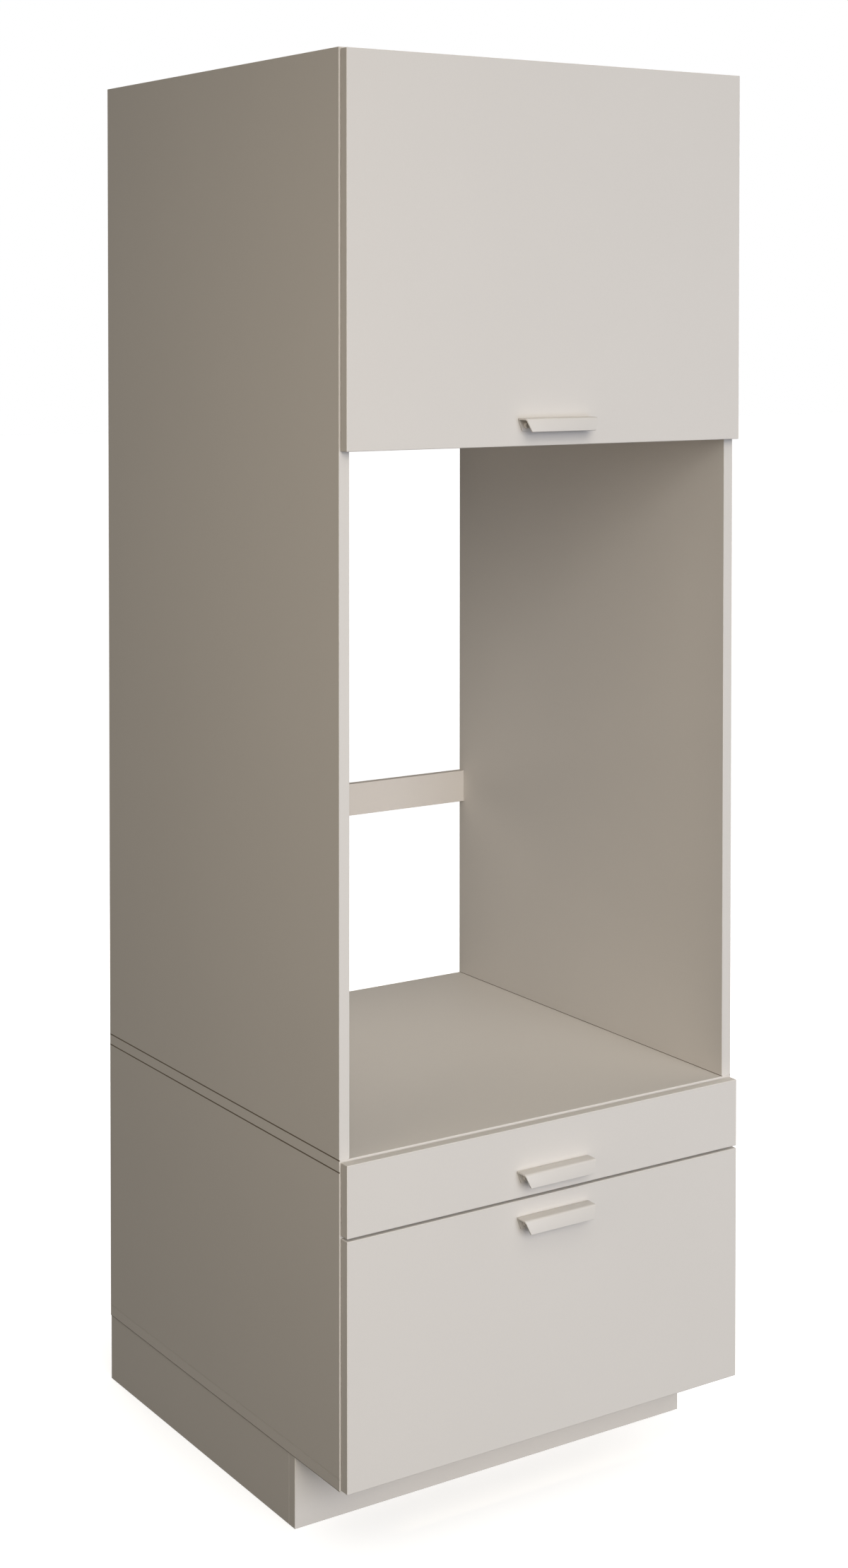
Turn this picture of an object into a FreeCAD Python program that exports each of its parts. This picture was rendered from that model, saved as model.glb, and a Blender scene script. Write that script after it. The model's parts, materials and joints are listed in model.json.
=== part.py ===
import FreeCAD
import Part
import math
import os

from FreeCAD import Vector

# A tall washing machine cabinet: a board plinth, two drawers, an open niche and a lift-up flap.
# Millimetres. +X is to the right of someone facing the fronts, +Y is towards the wall, +Z is up.
# The origin lies on the floor under the middle of the closed cabinet, handles included.

os.makedirs("parts", exist_ok=True)

# Carcass
CABINET_WIDTH = 675.0
CARCASS_DEPTH = 680.0
BOARD = 16.0
BOARD_ARRIS = 0.5
LOWER_CARCASS_HEIGHT = 442.0
UPPER_SIDE_HEIGHT = 1466.0
RAIL_ABOVE_NICHE_FLOOR = 295.0
RAIL_HEIGHT = 52.0
RAIL_THICKNESS = 13.0
BACK_THICKNESS = 3.0
BACK_INSET = 12.0
GROOVE_DEPTH = 8.0
GROOVE_CLEARANCE = 0.1

# Plinth
PLINTH_HEIGHT = 100.0
PLINTH_RECESS = 117.5
PLINTH_INSET = 1.0
PLINTH_REAR_SETBACK = 30.0
PLINTH_BLOCK_WIDTH = 30.0
PLINTH_BLOCK_LIFT = 10.0

# Fronts
FRONT_THICKNESS = 15.0
FRONT_GAP = 1.5
FRONT_EDGE_RADIUS = 1.0
SIDE_REVEAL = 2.0
FLAP_TOP_REVEAL = 2.0
FLAP_HEIGHT = 527.0
FLOOR_ABOVE_FLAP_EDGE = 1.0
DRAWER_TOP_REVEAL = 2.5
DRAWER_FRONTS_GAP = 3.5
DRAWER_BOTTOM_REVEAL = 1.5
UPPER_FRONT_HEIGHT = 97.5
BUMPER_RADIUS = 4.0
BUMPER_CLEARANCE = 0.2
BUMPER_ABOVE_EDGE = 30.0

# Handles, each folded from one sheet: a leg on the front, a flange straight out, a lip leaning out
HANDLE_LENGTH = 122.0
HANDLE_REACH = 20.5
HANDLE_DROP = 18.0
HANDLE_LEAN = 5.5
HANDLE_END_TAPER = 6.5
HANDLE_SHEET = 2.5
HANDLE_BEND_RADIUS = 2.0
HANDLE_ABOVE_EDGE = 38.5
HANDLE_BELOW_EDGE = 22.0
HANDLE_SCREW_SPACING = 96.0
HANDLE_SCREW_DROP = 10.0
HANDLE_BOSS_RADIUS = 4.5
HANDLE_BOSS_LENGTH = 5.0
HANDLE_SCREW_RADIUS = 2.0
HANDLE_SCREW_HEAD_RADIUS = 4.0
HANDLE_SCREW_HEAD_HEIGHT = 2.4
HANDLE_THREAD_SPARE = 1.0

# Joints between boards
FASTENER_FIT = 0.1
HOLE_SPARE = 0.5
DOWEL_RADIUS = 4.0
DOWEL_IN_EDGE = 21.0
DOWEL_SKIN = 5.0
CAM_RADIUS = 7.5
CAM_SETBACK = 24.0
CAM_FLOOR = 0.7
CAM_BOLT_RADIUS = 3.0
FASTENER_EDGE = 60.0
CAM_BESIDE_DOWEL = 32.0
STUD_RADIUS = 4.0
STUD_BESIDE_DOWEL = 64.0
STUD_IN_EDGE = 24.0
RAIL_FASTENER_SPREAD = 24.0

# Short flat-headed screws for metal fittings
SHORT_SCREW_RADIUS = 2.0
SHORT_SCREW_HEAD_RADIUS = 4.0
SHORT_SCREW_HEAD_HEIGHT = 1.5

# Flap hinges: a housing let into the flap carries the pin, a bent arm comes from the top panel
HINGE_FROM_SIDE = 92.0
HINGE_SKIN = 2.5
HINGE_WALL = 1.0
HINGE_ROOF = 1.5
HINGE_PIN_RADIUS = 1.25
HINGE_PIN_FIT = 0.06
HINGE_KNUCKLE_RADIUS = 2.4
HINGE_KNUCKLE_CLEARANCE = 0.6
HINGE_SWING_CLEARANCE = 0.35
HINGE_ARM_WIDTH = 12.0
HINGE_ARM_CLEARANCE = 0.5
HINGE_ARM_THICKNESS = 3.0
HINGE_ARM_REACH = 50.0
HINGE_CHEEK = 6.5
HINGE_PIN_IN_CHEEK = 4.0
HINGE_CAVITY_BELOW_ARM = 4.0
HINGE_FOOT = 6.0
HINGE_WING_SPAN = 52.0
HINGE_WING_HEIGHT = 10.0
HINGE_WING_THICKNESS = 1.2
HINGE_WING_SCREW_FROM_END = 7.0
HINGE_PLATE_SETBACK = 6.0
HINGE_PLATE_WIDTH = 32.0
HINGE_PLATE_THICKNESS = 2.0
HINGE_PLATE_SCREW_SPACING = 22.0

# Gas struts, which push between the cabinet's sides and the flap
FLAP_OPENING_DEGREES = 90.0
STRUT_ARM = 210.0
STRUT_FROM_SIDE = 13.0
STRUT_BELOW_CEILING = 22.0
STRUT_STUD_FROM_FLAP = 14.0
STRUT_STUD_RADIUS = 4.0
STRUT_STUD_FIT = 0.06
STRUT_COLLAR_RADIUS = 6.0
STRUT_HEAD_THICKNESS = 1.5
STRUT_EYE_RADIUS = 8.0
STRUT_EYE_WIDTH = 8.0
STRUT_SIDE_PLAY = 0.5
STRUT_NECK_RADIUS = 5.0
STRUT_TUBE_START = 14.0
STRUT_TUBE_RADIUS = 9.0
STRUT_TUBE_WALL = 1.5
STRUT_BORE_START = 22.0
STRUT_GLAND = 6.0
STRUT_ROD_RADIUS = 4.0
STRUT_ROD_CLEARANCE = 0.3
STRUT_PISTON_LENGTH = 10.0
STRUT_STROKE_SPARE = 2.0
STRUT_PLATE_THICKNESS = 3.0
STRUT_PLATE_WIDTH = 28.0
STRUT_PLATE_HEIGHT = 36.0
STRUT_PLATE_SCREW_SPACING = 24.0
STRUT_EAR_GAP = 4.0
STRUT_EAR_THICKNESS = 2.5
STRUT_EAR_WIDTH = 18.0
STRUT_BASE_LENGTH = 30.0
STRUT_BASE_HEIGHT = 28.0
STRUT_BASE_THICKNESS = 2.0
STRUT_BASE_SCREW_SPACING = 16.0

# Wall brackets against tipping, with their holes towards the wall
WALL_BRACKET_FROM_SIDE = 101.5
WALL_BRACKET_WIDTH = 30.0
WALL_BRACKET_LEG = 44.0
WALL_BRACKET_SHEET = 2.0
WALL_BRACKET_SCREW_FROM_END = 14.5
WALL_BRACKET_SCREW_SPACING = 15.0
WALL_HOLE_RADIUS = 3.5
WALL_HOLE_DROP = 28.0
WALL_HOLE_MARGIN = 2.0

# Drawer boxes
DRAWER_SIDE_THICKNESS = 12.0
DRAWER_REAR_GAP = 60.0
DRAWER_BACK_THICKNESS = 12.0
DRAWER_BACK_FROM_END = 10.0
DRAWER_BACK_DADO = 3.0
DRAWER_BOTTOM_THICKNESS = 6.0
DRAWER_BOTTOM_RISE = 8.0
DRAWER_BOTTOM_GROOVE = 6.0
UPPER_BOX_RISE = 8.0
UPPER_BOX_TOP_GAP = 14.0
LOWER_BOX_RISE = 14.0
LOWER_BOX_TOP_GAP = 78.5
CORNER_BRACKET_LEG = 30.0
CORNER_BRACKET_HEIGHT = 36.0
CORNER_BRACKET_SHEET = 2.0
CORNER_BRACKET_LIFT = 4.0
CORNER_SCREW_FROM_CORNER = 18.0
CORNER_SCREW_SPACING = 18.0

# Drawer runners: three nested steel rails on each side
RUNNER_SPACE = 13.0
RUNNER_HEIGHT = 45.0
RUNNER_SHEET = 1.2
RUNNER_PLAY = 0.5
RUNNER_LIP = 5.5
RUNNER_CABINET_DEPTH = 9.5
RUNNER_SETBACK = 3.0
RUNNER_REAR_GAP = 62.0
RUNNER_ABOVE_BOX = 31.0
RUNNER_SCREW_FROM_END = 40.0

# Places worked out from the sizes
half_width = CABINET_WIDTH / 2
inner_half = half_width - BOARD
front_stack = FRONT_GAP + FRONT_THICKNESS
overall_depth = CARCASS_DEPTH + front_stack + HANDLE_REACH + HANDLE_LEAN
rear = overall_depth / 2
front = rear - CARCASS_DEPTH
front_inner = front - FRONT_GAP
front_outer = front - front_stack
back_rear = rear - BACK_INSET
back_front = back_rear - BACK_THICKNESS

niche_floor = PLINTH_HEIGHT + LOWER_CARCASS_HEIGHT
lower_inside_bottom = PLINTH_HEIGHT + BOARD
lower_inside_top = niche_floor - BOARD
cabinet_top = niche_floor + UPPER_SIDE_HEIGHT
ceiling = cabinet_top - BOARD
flap_top = cabinet_top - FLAP_TOP_REVEAL
flap_bottom = flap_top - FLAP_HEIGHT
compartment_bottom = flap_bottom + FLOOR_ABOVE_FLAP_EDGE
compartment_inside_bottom = compartment_bottom + BOARD
upper_front_top = niche_floor - DRAWER_TOP_REVEAL
upper_front_bottom = upper_front_top - UPPER_FRONT_HEIGHT
lower_front_top = upper_front_bottom - DRAWER_FRONTS_GAP
lower_front_bottom = PLINTH_HEIGHT + DRAWER_BOTTOM_REVEAL
short_screw_length = min(DRAWER_SIDE_THICKNESS, FRONT_THICKNESS, BOARD)

SIDES = {"left": -1, "right": 1}
UP = Vector(0, 0, 1)
BACKWARD = Vector(0, 1, 0)
RIGHT = Vector(1, 0, 0)

pieces = {}
groups = {}


# Shapes and bookkeeping

def box(x, y, z):
    return Part.makeBox(x[1] - x[0], y[1] - y[0], z[1] - z[0], Vector(x[0], y[0], z[0]))


def span(a, b):
    return (min(a, b), max(a, b))


def pair(spacing):
    return (-spacing / 2, spacing / 2)


def eased(interval, clearance):
    return (interval[0] - clearance, interval[1] + clearance)


def board(x, y, z, radius=BOARD_ARRIS):
    solid = box(x, y, z)
    return solid.makeFillet(radius, solid.Edges)


def rod(start, end, radius):
    return Part.makeCylinder(radius, (end - start).Length, start, end - start)


def prism(points, along):
    outline = Part.makePolygon(points + points[:1])
    return Part.Face(outline).extrude(along)


def drill(hole, *names):
    for name in names:
        pieces[name] = pieces[name].cut(hole)


def fasten(group, solid, hole, *names):
    groups.setdefault(group, []).append(solid)
    drill(hole, *names)


def add_to_group(group, solid):
    groups.setdefault(group, []).append(solid)


def stations(low, high, inset):
    return (low + inset, (low + high) / 2, high - inset)


# Fasteners between boards

def dowel(joint, into):
    skin = BOARD - DOWEL_SKIN
    solid = rod(joint - into * skin, joint + into * DOWEL_IN_EDGE, DOWEL_RADIUS)
    hole_start = joint - into * (skin + HOLE_SPARE)
    hole_end = joint + into * (DOWEL_IN_EDGE + HOLE_SPARE)
    return solid, rod(hole_start, hole_end, DOWEL_RADIUS + FASTENER_FIT)


def cam_joint(joint, into, cam_side, thickness, cam_board, bolt_board):
    depth_in_face = BOARD - DOWEL_SKIN
    centre = joint + into * CAM_SETBACK
    bolt = rod(joint - into * depth_in_face, centre, CAM_BOLT_RADIUS)
    hole_start = joint - into * (depth_in_face + HOLE_SPARE)
    bolt_hole = rod(hole_start, centre + into * HOLE_SPARE, CAM_BOLT_RADIUS + FASTENER_FIT)
    cam_height = thickness / 2 + CAM_BOLT_RADIUS + CAM_FLOOR
    face = centre + cam_side * (thickness / 2)
    cam = rod(face, face - cam_side * cam_height, CAM_RADIUS).cut(bolt_hole)
    hole_floor = face - cam_side * (cam_height + FASTENER_FIT)
    cam_hole = rod(face + cam_side * HOLE_SPARE, hole_floor, CAM_RADIUS + FASTENER_FIT)
    fasten("cam_bolts", bolt, bolt_hole, cam_board, bolt_board)
    fasten("cam_locks", cam, cam_hole, cam_board)


def screw_down(fitting, point, into, group, wood):
    shank = rod(point, point + into * short_screw_length, SHORT_SCREW_RADIUS)
    head = rod(point - into * SHORT_SCREW_HEAD_HEIGHT, point, SHORT_SCREW_HEAD_RADIUS)
    hole_end = point + into * (short_screw_length + HOLE_SPARE)
    hole = rod(point, hole_end, SHORT_SCREW_RADIUS + FASTENER_FIT)
    fasten(group, head.fuse(shank).removeSplitter(), hole, wood)
    return fitting.cut(hole)


# Plinth: a frame of boards that carries the carcass

plinth_front_y = (front + PLINTH_RECESS, front + PLINTH_RECESS + BOARD)
plinth_half = half_width - PLINTH_INSET
plinth_inner = plinth_half - BOARD
plinth_rear_y = (rear - PLINTH_REAR_SETBACK - BOARD, rear - PLINTH_REAR_SETBACK)
plinth_z = (0, PLINTH_HEIGHT)

pieces["plinth_front"] = board((-plinth_half, plinth_half), plinth_front_y, plinth_z)
for name, side in SIDES.items():
    x = span(side * plinth_inner, side * plinth_half)
    pieces["plinth_side_" + name] = board(x, (plinth_front_y[1], rear), plinth_z)
pieces["plinth_rear_rail"] = board((-plinth_inner, plinth_inner), plinth_rear_y, plinth_z)
bearer_y = (plinth_front_y[1], plinth_rear_y[0])
pieces["plinth_centre_bearer"] = board((-BOARD / 2, BOARD / 2), bearer_y, plinth_z)

# Lower carcass: the bottom panel and the niche floor panel run through, the sides stand between

full_width = (-half_width, half_width)
full_depth = (front, rear)
pieces["bottom_panel"] = board(full_width, full_depth, (PLINTH_HEIGHT, lower_inside_bottom))
pieces["niche_floor_panel"] = board(full_width, full_depth, (lower_inside_top, niche_floor))
for name, side in SIDES.items():
    x = span(side * inner_half, side * half_width)
    pieces["lower_side_" + name] = board(x, full_depth, (lower_inside_bottom, lower_inside_top))

# Upper carcass: tall sides with the top panel and the compartment floor between them

between_sides = (-inner_half, inner_half)
for name, side in SIDES.items():
    x = span(side * inner_half, side * half_width)
    pieces["upper_side_" + name] = board(x, full_depth, (niche_floor, cabinet_top))
pieces["top_panel"] = board(between_sides, full_depth, (ceiling, cabinet_top))
compartment_floor_z = (compartment_bottom, compartment_inside_bottom)
pieces["compartment_floor"] = board(between_sides, full_depth, compartment_floor_z)
rail_bottom = niche_floor + RAIL_ABOVE_NICHE_FLOOR
rail_z = (rail_bottom, rail_bottom + RAIL_HEIGHT)
pieces["niche_rear_rail"] = board(between_sides, (rear - RAIL_THICKNESS, rear), rail_z)


# Thin back panels slide in grooves all round

def back_panel(name, low, high, *grooved):
    reach = GROOVE_DEPTH - GROOVE_CLEARANCE
    x_reach = inner_half + reach
    pieces[name] = box((-x_reach, x_reach), (back_front, back_rear), (low - reach, high + reach))
    groove_x = inner_half + GROOVE_DEPTH
    groove_y = eased((back_front, back_rear), GROOVE_CLEARANCE)
    groove = box((-groove_x, groove_x), groove_y, (low - GROOVE_DEPTH, high + GROOVE_DEPTH))
    drill(groove, *grooved)


lower_sides = ("lower_side_left", "lower_side_right")
upper_sides = ("upper_side_left", "upper_side_right")
back_panel("lower_back_panel", lower_inside_bottom, lower_inside_top,
           "bottom_panel", "niche_floor_panel", *lower_sides)
back_panel("compartment_back", compartment_inside_bottom, ceiling,
           "compartment_floor", "top_panel", *upper_sides)

# Dowels and cam locks at the ends of the top panel and of the compartment floor

dowel_y = stations(front, rear, FASTENER_EDGE)
cam_y = (dowel_y[0] + CAM_BESIDE_DOWEL, dowel_y[2] - CAM_BESIDE_DOWEL)
cam_faces = {"top_panel": -UP, "compartment_floor": UP}
shelf_middles = {"top_panel": cabinet_top - BOARD / 2, "compartment_floor": compartment_bottom + BOARD / 2}

for shelf, middle in shelf_middles.items():
    for name, side in SIDES.items():
        into = RIGHT * -side
        for y in dowel_y:
            peg, hole = dowel(Vector(side * inner_half, y, middle), into)
            fasten("wood_dowels", peg, hole, shelf, "upper_side_" + name)
        for y in cam_y:
            joint = Vector(side * inner_half, y, middle)
            cam_joint(joint, into, cam_faces[shelf], BOARD, shelf, "upper_side_" + name)

# Dowels and cam locks at the lower sides' ends, and double-ended studs that tie the carcasses together

side_middle = half_width - BOARD / 2
side_ends = {"bottom_panel": (lower_inside_bottom, UP), "niche_floor_panel": (lower_inside_top, -UP)}
stud_y = (dowel_y[0] + STUD_BESIDE_DOWEL, dowel_y[2] - STUD_BESIDE_DOWEL)

for name, side in SIDES.items():
    lower_side = "lower_side_" + name
    for panel, (height, into) in side_ends.items():
        for y in dowel_y:
            peg, hole = dowel(Vector(side * side_middle, y, height), into)
            fasten("wood_dowels", peg, hole, panel, lower_side)
        for y in cam_y:
            joint = Vector(side * side_middle, y, height)
            cam_joint(joint, into, RIGHT * -side, BOARD, lower_side, panel)
    for y in stud_y:
        low = Vector(side * side_middle, y, lower_inside_top - STUD_IN_EDGE)
        high = Vector(side * side_middle, y, niche_floor + STUD_IN_EDGE)
        hole = rod(low - UP * HOLE_SPARE, high + UP * HOLE_SPARE, STUD_RADIUS + FASTENER_FIT)
        fasten("carcass_studs", rod(low, high, STUD_RADIUS), hole,
               lower_side, "niche_floor_panel", "upper_side_" + name)

# One dowel and one cam lock at each end of the niche's rear rail

rail_middle_y = rear - RAIL_THICKNESS / 2
rail_middle_z = rail_bottom + RAIL_HEIGHT / 2
for name, side in SIDES.items():
    into = RIGHT * -side
    upper_side = "upper_side_" + name
    dowel_point = Vector(side * inner_half, rail_middle_y, rail_middle_z - RAIL_FASTENER_SPREAD / 2)
    cam_point = Vector(side * inner_half, rail_middle_y, rail_middle_z + RAIL_FASTENER_SPREAD / 2)
    peg, hole = dowel(dowel_point, into)
    fasten("wood_dowels", peg, hole, "niche_rear_rail", upper_side)
    cam_joint(cam_point, into, BACKWARD, RAIL_THICKNESS, "niche_rear_rail", upper_side)

# Corner blocks in the plinth, each with a dowel up into the bottom panel

block_ys = (plinth_front_y[1], plinth_rear_y[0] - PLINTH_BLOCK_WIDTH)
for side in SIDES.values():
    for block_y in block_ys:
        x = span(side * (plinth_inner - PLINTH_BLOCK_WIDTH), side * plinth_inner)
        y = (block_y, block_y + PLINTH_BLOCK_WIDTH)
        block = board(x, y, (PLINTH_BLOCK_LIFT, PLINTH_HEIGHT))
        joint = Vector((x[0] + x[1]) / 2, (y[0] + y[1]) / 2, PLINTH_HEIGHT)
        peg, hole = dowel(joint, -UP)
        fasten("wood_dowels", peg, hole, "bottom_panel")
        add_to_group("plinth_corner_blocks", block.cut(hole))

# Wall brackets under the top panel, with a hole through the back panel to the wall

for side in SIDES.values():
    x = side * (inner_half - WALL_BRACKET_FROM_SIDE)
    bracket_x = (x - WALL_BRACKET_WIDTH / 2, x + WALL_BRACKET_WIDTH / 2)
    leg_y = (back_front - WALL_BRACKET_LEG, back_front)
    leg_z = (ceiling - WALL_BRACKET_LEG, ceiling)
    flat = box(bracket_x, leg_y, (ceiling - WALL_BRACKET_SHEET, ceiling))
    upright = box(bracket_x, (back_front - WALL_BRACKET_SHEET, back_front), leg_z)
    bracket = flat.fuse(upright).removeSplitter()
    hole_centre = Vector(x, back_front, ceiling - WALL_HOLE_DROP)
    wall_hole = rod(hole_centre - BACKWARD * WALL_BRACKET_SHEET, hole_centre, WALL_HOLE_RADIUS)
    bracket = bracket.cut(wall_hole)
    back_hole_end = hole_centre + BACKWARD * BACK_THICKNESS
    drill(rod(hole_centre, back_hole_end, WALL_HOLE_RADIUS + WALL_HOLE_MARGIN), "compartment_back")
    screw_y = leg_y[0] + WALL_BRACKET_SCREW_FROM_END
    for offset in pair(WALL_BRACKET_SCREW_SPACING):
        point = Vector(x + offset, screw_y, ceiling - WALL_BRACKET_SHEET)
        bracket = screw_down(bracket, point, UP, "carcass_short_screws", "top_panel")
    add_to_group("wall_brackets", bracket)


# Handles

def handle(flange_top):
    lip_bottom = flange_top - HANDLE_DROP
    bend_y = front_outer - HANDLE_REACH
    tip_y = bend_y - HANDLE_LEAN
    lip_thickness = HANDLE_SHEET * math.hypot(HANDLE_LEAN, HANDLE_DROP) / HANDLE_DROP
    inner_bend_y = bend_y + lip_thickness - HANDLE_LEAN * HANDLE_SHEET / HANDLE_DROP
    profile = [
        (front_outer, flange_top),
        (bend_y, flange_top),
        (tip_y, lip_bottom),
        (tip_y + lip_thickness, lip_bottom),
        (inner_bend_y, flange_top - HANDLE_SHEET),
        (front_outer - HANDLE_SHEET, flange_top - HANDLE_SHEET),
        (front_outer - HANDLE_SHEET, lip_bottom),
        (front_outer, lip_bottom),
    ]
    half = HANDLE_LENGTH / 2
    points = [Vector(-half, y, z) for y, z in profile]
    solid = prism(points, RIGHT * HANDLE_LENGTH)
    bend = [edge for edge in solid.Edges
            if edge.BoundBox.XLength > half
            and abs(edge.BoundBox.ZMax - flange_top) < HANDLE_SHEET / 2
            and abs(edge.BoundBox.YMin - bend_y) < HANDLE_SHEET / 2]
    solid = solid.makeFillet(HANDLE_BEND_RADIUS, bend)
    for side in SIDES.values():
        corner = [
            Vector(side * half, tip_y, flange_top - HANDLE_SHEET),
            Vector(side * half, tip_y, lip_bottom),
            Vector(side * (half - HANDLE_END_TAPER), tip_y, lip_bottom),
        ]
        solid = solid.cut(prism(corner, BACKWARD * (front_outer - tip_y)))
        boss_start = Vector(side * HANDLE_SCREW_SPACING / 2, front_outer, flange_top - HANDLE_SCREW_DROP)
        boss_end = boss_start - BACKWARD * (HANDLE_SHEET + HANDLE_BOSS_LENGTH)
        solid = solid.fuse(rod(boss_start, boss_end, HANDLE_BOSS_RADIUS))
    return solid.removeSplitter()


def add_handle(prefix, front_name, flange_top):
    grip = handle(flange_top)
    for side in SIDES.values():
        x = side * HANDLE_SCREW_SPACING / 2
        seat = Vector(x, front_inner, flange_top - HANDLE_SCREW_DROP)
        depth = FRONT_THICKNESS + HANDLE_SHEET + HANDLE_BOSS_LENGTH - HANDLE_THREAD_SPARE
        shank = rod(seat, seat - BACKWARD * (depth - HOLE_SPARE), HANDLE_SCREW_RADIUS)
        head = rod(seat + BACKWARD * HANDLE_SCREW_HEAD_HEIGHT, seat, HANDLE_SCREW_HEAD_RADIUS)
        hole = rod(seat, seat - BACKWARD * depth, HANDLE_SCREW_RADIUS + FASTENER_FIT)
        fasten(prefix + "_handle_screws", head.fuse(shank).removeSplitter(), hole, front_name)
        grip = grip.cut(hole)
    pieces[prefix + "_handle"] = grip


# The flap, hung from its top edge

front_half = half_width - SIDE_REVEAL
front_x = (-front_half, front_half)
front_y = (front_outer, front_inner)
pieces["flap_front"] = board(front_x, front_y, (flap_bottom, flap_top), FRONT_EDGE_RADIUS)
add_handle("flap", "flap_front", flap_bottom + HANDLE_ABOVE_EDGE)
for side in SIDES.values():
    seat = Vector(side * side_middle, front_inner, flap_bottom + BUMPER_ABOVE_EDGE)
    bumper_top = seat + BACKWARD * (FRONT_GAP - BUMPER_CLEARANCE)
    add_to_group("flap_bumpers", rod(seat, bumper_top, BUMPER_RADIUS))

# The hinge pin sits as low in the flap as the swing of the flap's top inner edge allows

housing_depth = FRONT_THICKNESS - HINGE_SKIN
pin_depth = housing_depth - HINGE_WALL - HINGE_KNUCKLE_CLEARANCE - HINGE_KNUCKLE_RADIUS
swing = FRONT_GAP + pin_depth - HINGE_SWING_CLEARANCE - FRONT_EDGE_RADIUS
pin_drop = FRONT_EDGE_RADIUS + math.sqrt(swing ** 2 - (pin_depth - FRONT_EDGE_RADIUS) ** 2)
pin_y = front_inner - pin_depth
pin_z = flap_top - pin_drop
strap_top = ceiling - HINGE_PLATE_THICKNESS
strap_bottom = strap_top - HINGE_ARM_THICKNESS
cavity_bottom = strap_bottom - HINGE_CAVITY_BELOW_ARM
housing_bottom = cavity_bottom - HINGE_FOOT


def hinge_arm(x):
    arm_x = (x - HINGE_ARM_WIDTH / 2, x + HINGE_ARM_WIDTH / 2)
    neck_y = (pin_y - HINGE_ARM_THICKNESS / 2, pin_y + HINGE_ARM_THICKNESS / 2)
    pin_start = Vector(arm_x[0], pin_y, pin_z)
    pin_end = Vector(arm_x[1], pin_y, pin_z)
    knuckle = rod(pin_start, pin_end, HINGE_KNUCKLE_RADIUS)
    neck = box(arm_x, neck_y, (strap_bottom, pin_z))
    strap = box(arm_x, (neck_y[0], front + HINGE_ARM_REACH), (strap_bottom, strap_top))
    bore = rod(pin_start, pin_end, HINGE_PIN_RADIUS + HINGE_PIN_FIT)
    return knuckle.fuse([neck, strap]).removeSplitter().cut(bore)


def hinge_housing(x):
    cavity_half = HINGE_ARM_WIDTH / 2 + HINGE_ARM_CLEARANCE
    housing_half = cavity_half + HINGE_CHEEK
    housing_x = (x - housing_half, x + housing_half)
    block = box(housing_x, (front_inner - housing_depth, front_inner), (housing_bottom, flap_top))
    rim = [edge for edge in block.Edges
           if edge.BoundBox.YMin > front_inner - HINGE_WALL
           and edge.BoundBox.ZMin > flap_top - HINGE_WALL]
    block = block.makeFillet(FRONT_EDGE_RADIUS, rim)
    wing_z = (cavity_bottom - HINGE_WALL - HINGE_WING_HEIGHT, cavity_bottom - HINGE_WALL)
    wing = box((x - HINGE_WING_SPAN / 2, x + HINGE_WING_SPAN / 2),
               (front_inner, front_inner + HINGE_WING_THICKNESS), wing_z)
    cavity = box((x - cavity_half, x + cavity_half),
                 (front_inner - housing_depth + HINGE_WALL, front_inner + HINGE_WALL),
                 (cavity_bottom, flap_top - HINGE_ROOF))
    pin_half = cavity_half + HINGE_PIN_IN_CHEEK
    pin_start = Vector(x - pin_half, pin_y, pin_z)
    pin_end = Vector(x + pin_half, pin_y, pin_z)
    add_to_group("hinge_pins", rod(pin_start, pin_end, HINGE_PIN_RADIUS))
    pin_hole = rod(pin_start, pin_end, HINGE_PIN_RADIUS + HINGE_PIN_FIT)
    housing = block.cut([cavity, pin_hole]).fuse(wing).removeSplitter()
    pocket = box(eased(housing_x, FASTENER_FIT),
                 (front_inner - housing_depth - FASTENER_FIT, front_inner + HINGE_WALL),
                 (housing_bottom - FASTENER_FIT, flap_top + HINGE_WALL))
    drill(pocket, "flap_front")
    for side in SIDES.values():
        screw_x = x + side * (HINGE_WING_SPAN / 2 - HINGE_WING_SCREW_FROM_END)
        point = Vector(screw_x, front_inner + HINGE_WING_THICKNESS, (wing_z[0] + wing_z[1]) / 2)
        housing = screw_down(housing, point, -BACKWARD, "flap_short_screws", "flap_front")
    return housing


def hinge_plate(x):
    plate_x = (x - HINGE_PLATE_WIDTH / 2, x + HINGE_PLATE_WIDTH / 2)
    plate_y = (front + HINGE_PLATE_SETBACK, front + HINGE_ARM_REACH)
    plate = box(plate_x, plate_y, (strap_top, ceiling))
    for offset in pair(HINGE_PLATE_SCREW_SPACING):
        point = Vector(x + offset, (plate_y[0] + plate_y[1]) / 2, strap_top)
        plate = screw_down(plate, point, UP, "carcass_short_screws", "top_panel")
    return plate


for side in SIDES.values():
    hinge_x = side * (inner_half - HINGE_FROM_SIDE)
    add_to_group("hinge_arms", hinge_arm(hinge_x))
    add_to_group("hinge_housings", hinge_housing(hinge_x))
    add_to_group("hinge_plates", hinge_plate(hinge_x))

# Gas struts. Both studs lie one arm's length from the hinge pin, so while the flap turns, each strut
# turns by exactly half as much, and the rod stays in line with its cylinder.

side_stud_drop = pin_z - (ceiling - STRUT_BELOW_CEILING)
flap_stud_depth = pin_depth + STRUT_STUD_FROM_FLAP
side_stud_y = pin_y + math.sqrt(STRUT_ARM ** 2 - side_stud_drop ** 2)
side_stud_z = pin_z - side_stud_drop
flap_stud_y = pin_y + flap_stud_depth
flap_stud_z = pin_z - math.sqrt(STRUT_ARM ** 2 - flap_stud_depth ** 2)
closed_length = math.hypot(side_stud_y - flap_stud_y, side_stud_z - flap_stud_z)
closed_angle = 2 * math.asin(closed_length / (2 * STRUT_ARM))
open_angle = closed_angle + math.radians(FLAP_OPENING_DEGREES)
open_length = 2 * STRUT_ARM * math.sin(open_angle / 2)
stroke = open_length - closed_length
tube_end = STRUT_BORE_START + stroke + STRUT_PISTON_LENGTH + STRUT_GLAND + 2 * STRUT_STROKE_SPARE
rod_inner_end = STRUT_BORE_START + STRUT_STROKE_SPARE
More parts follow.
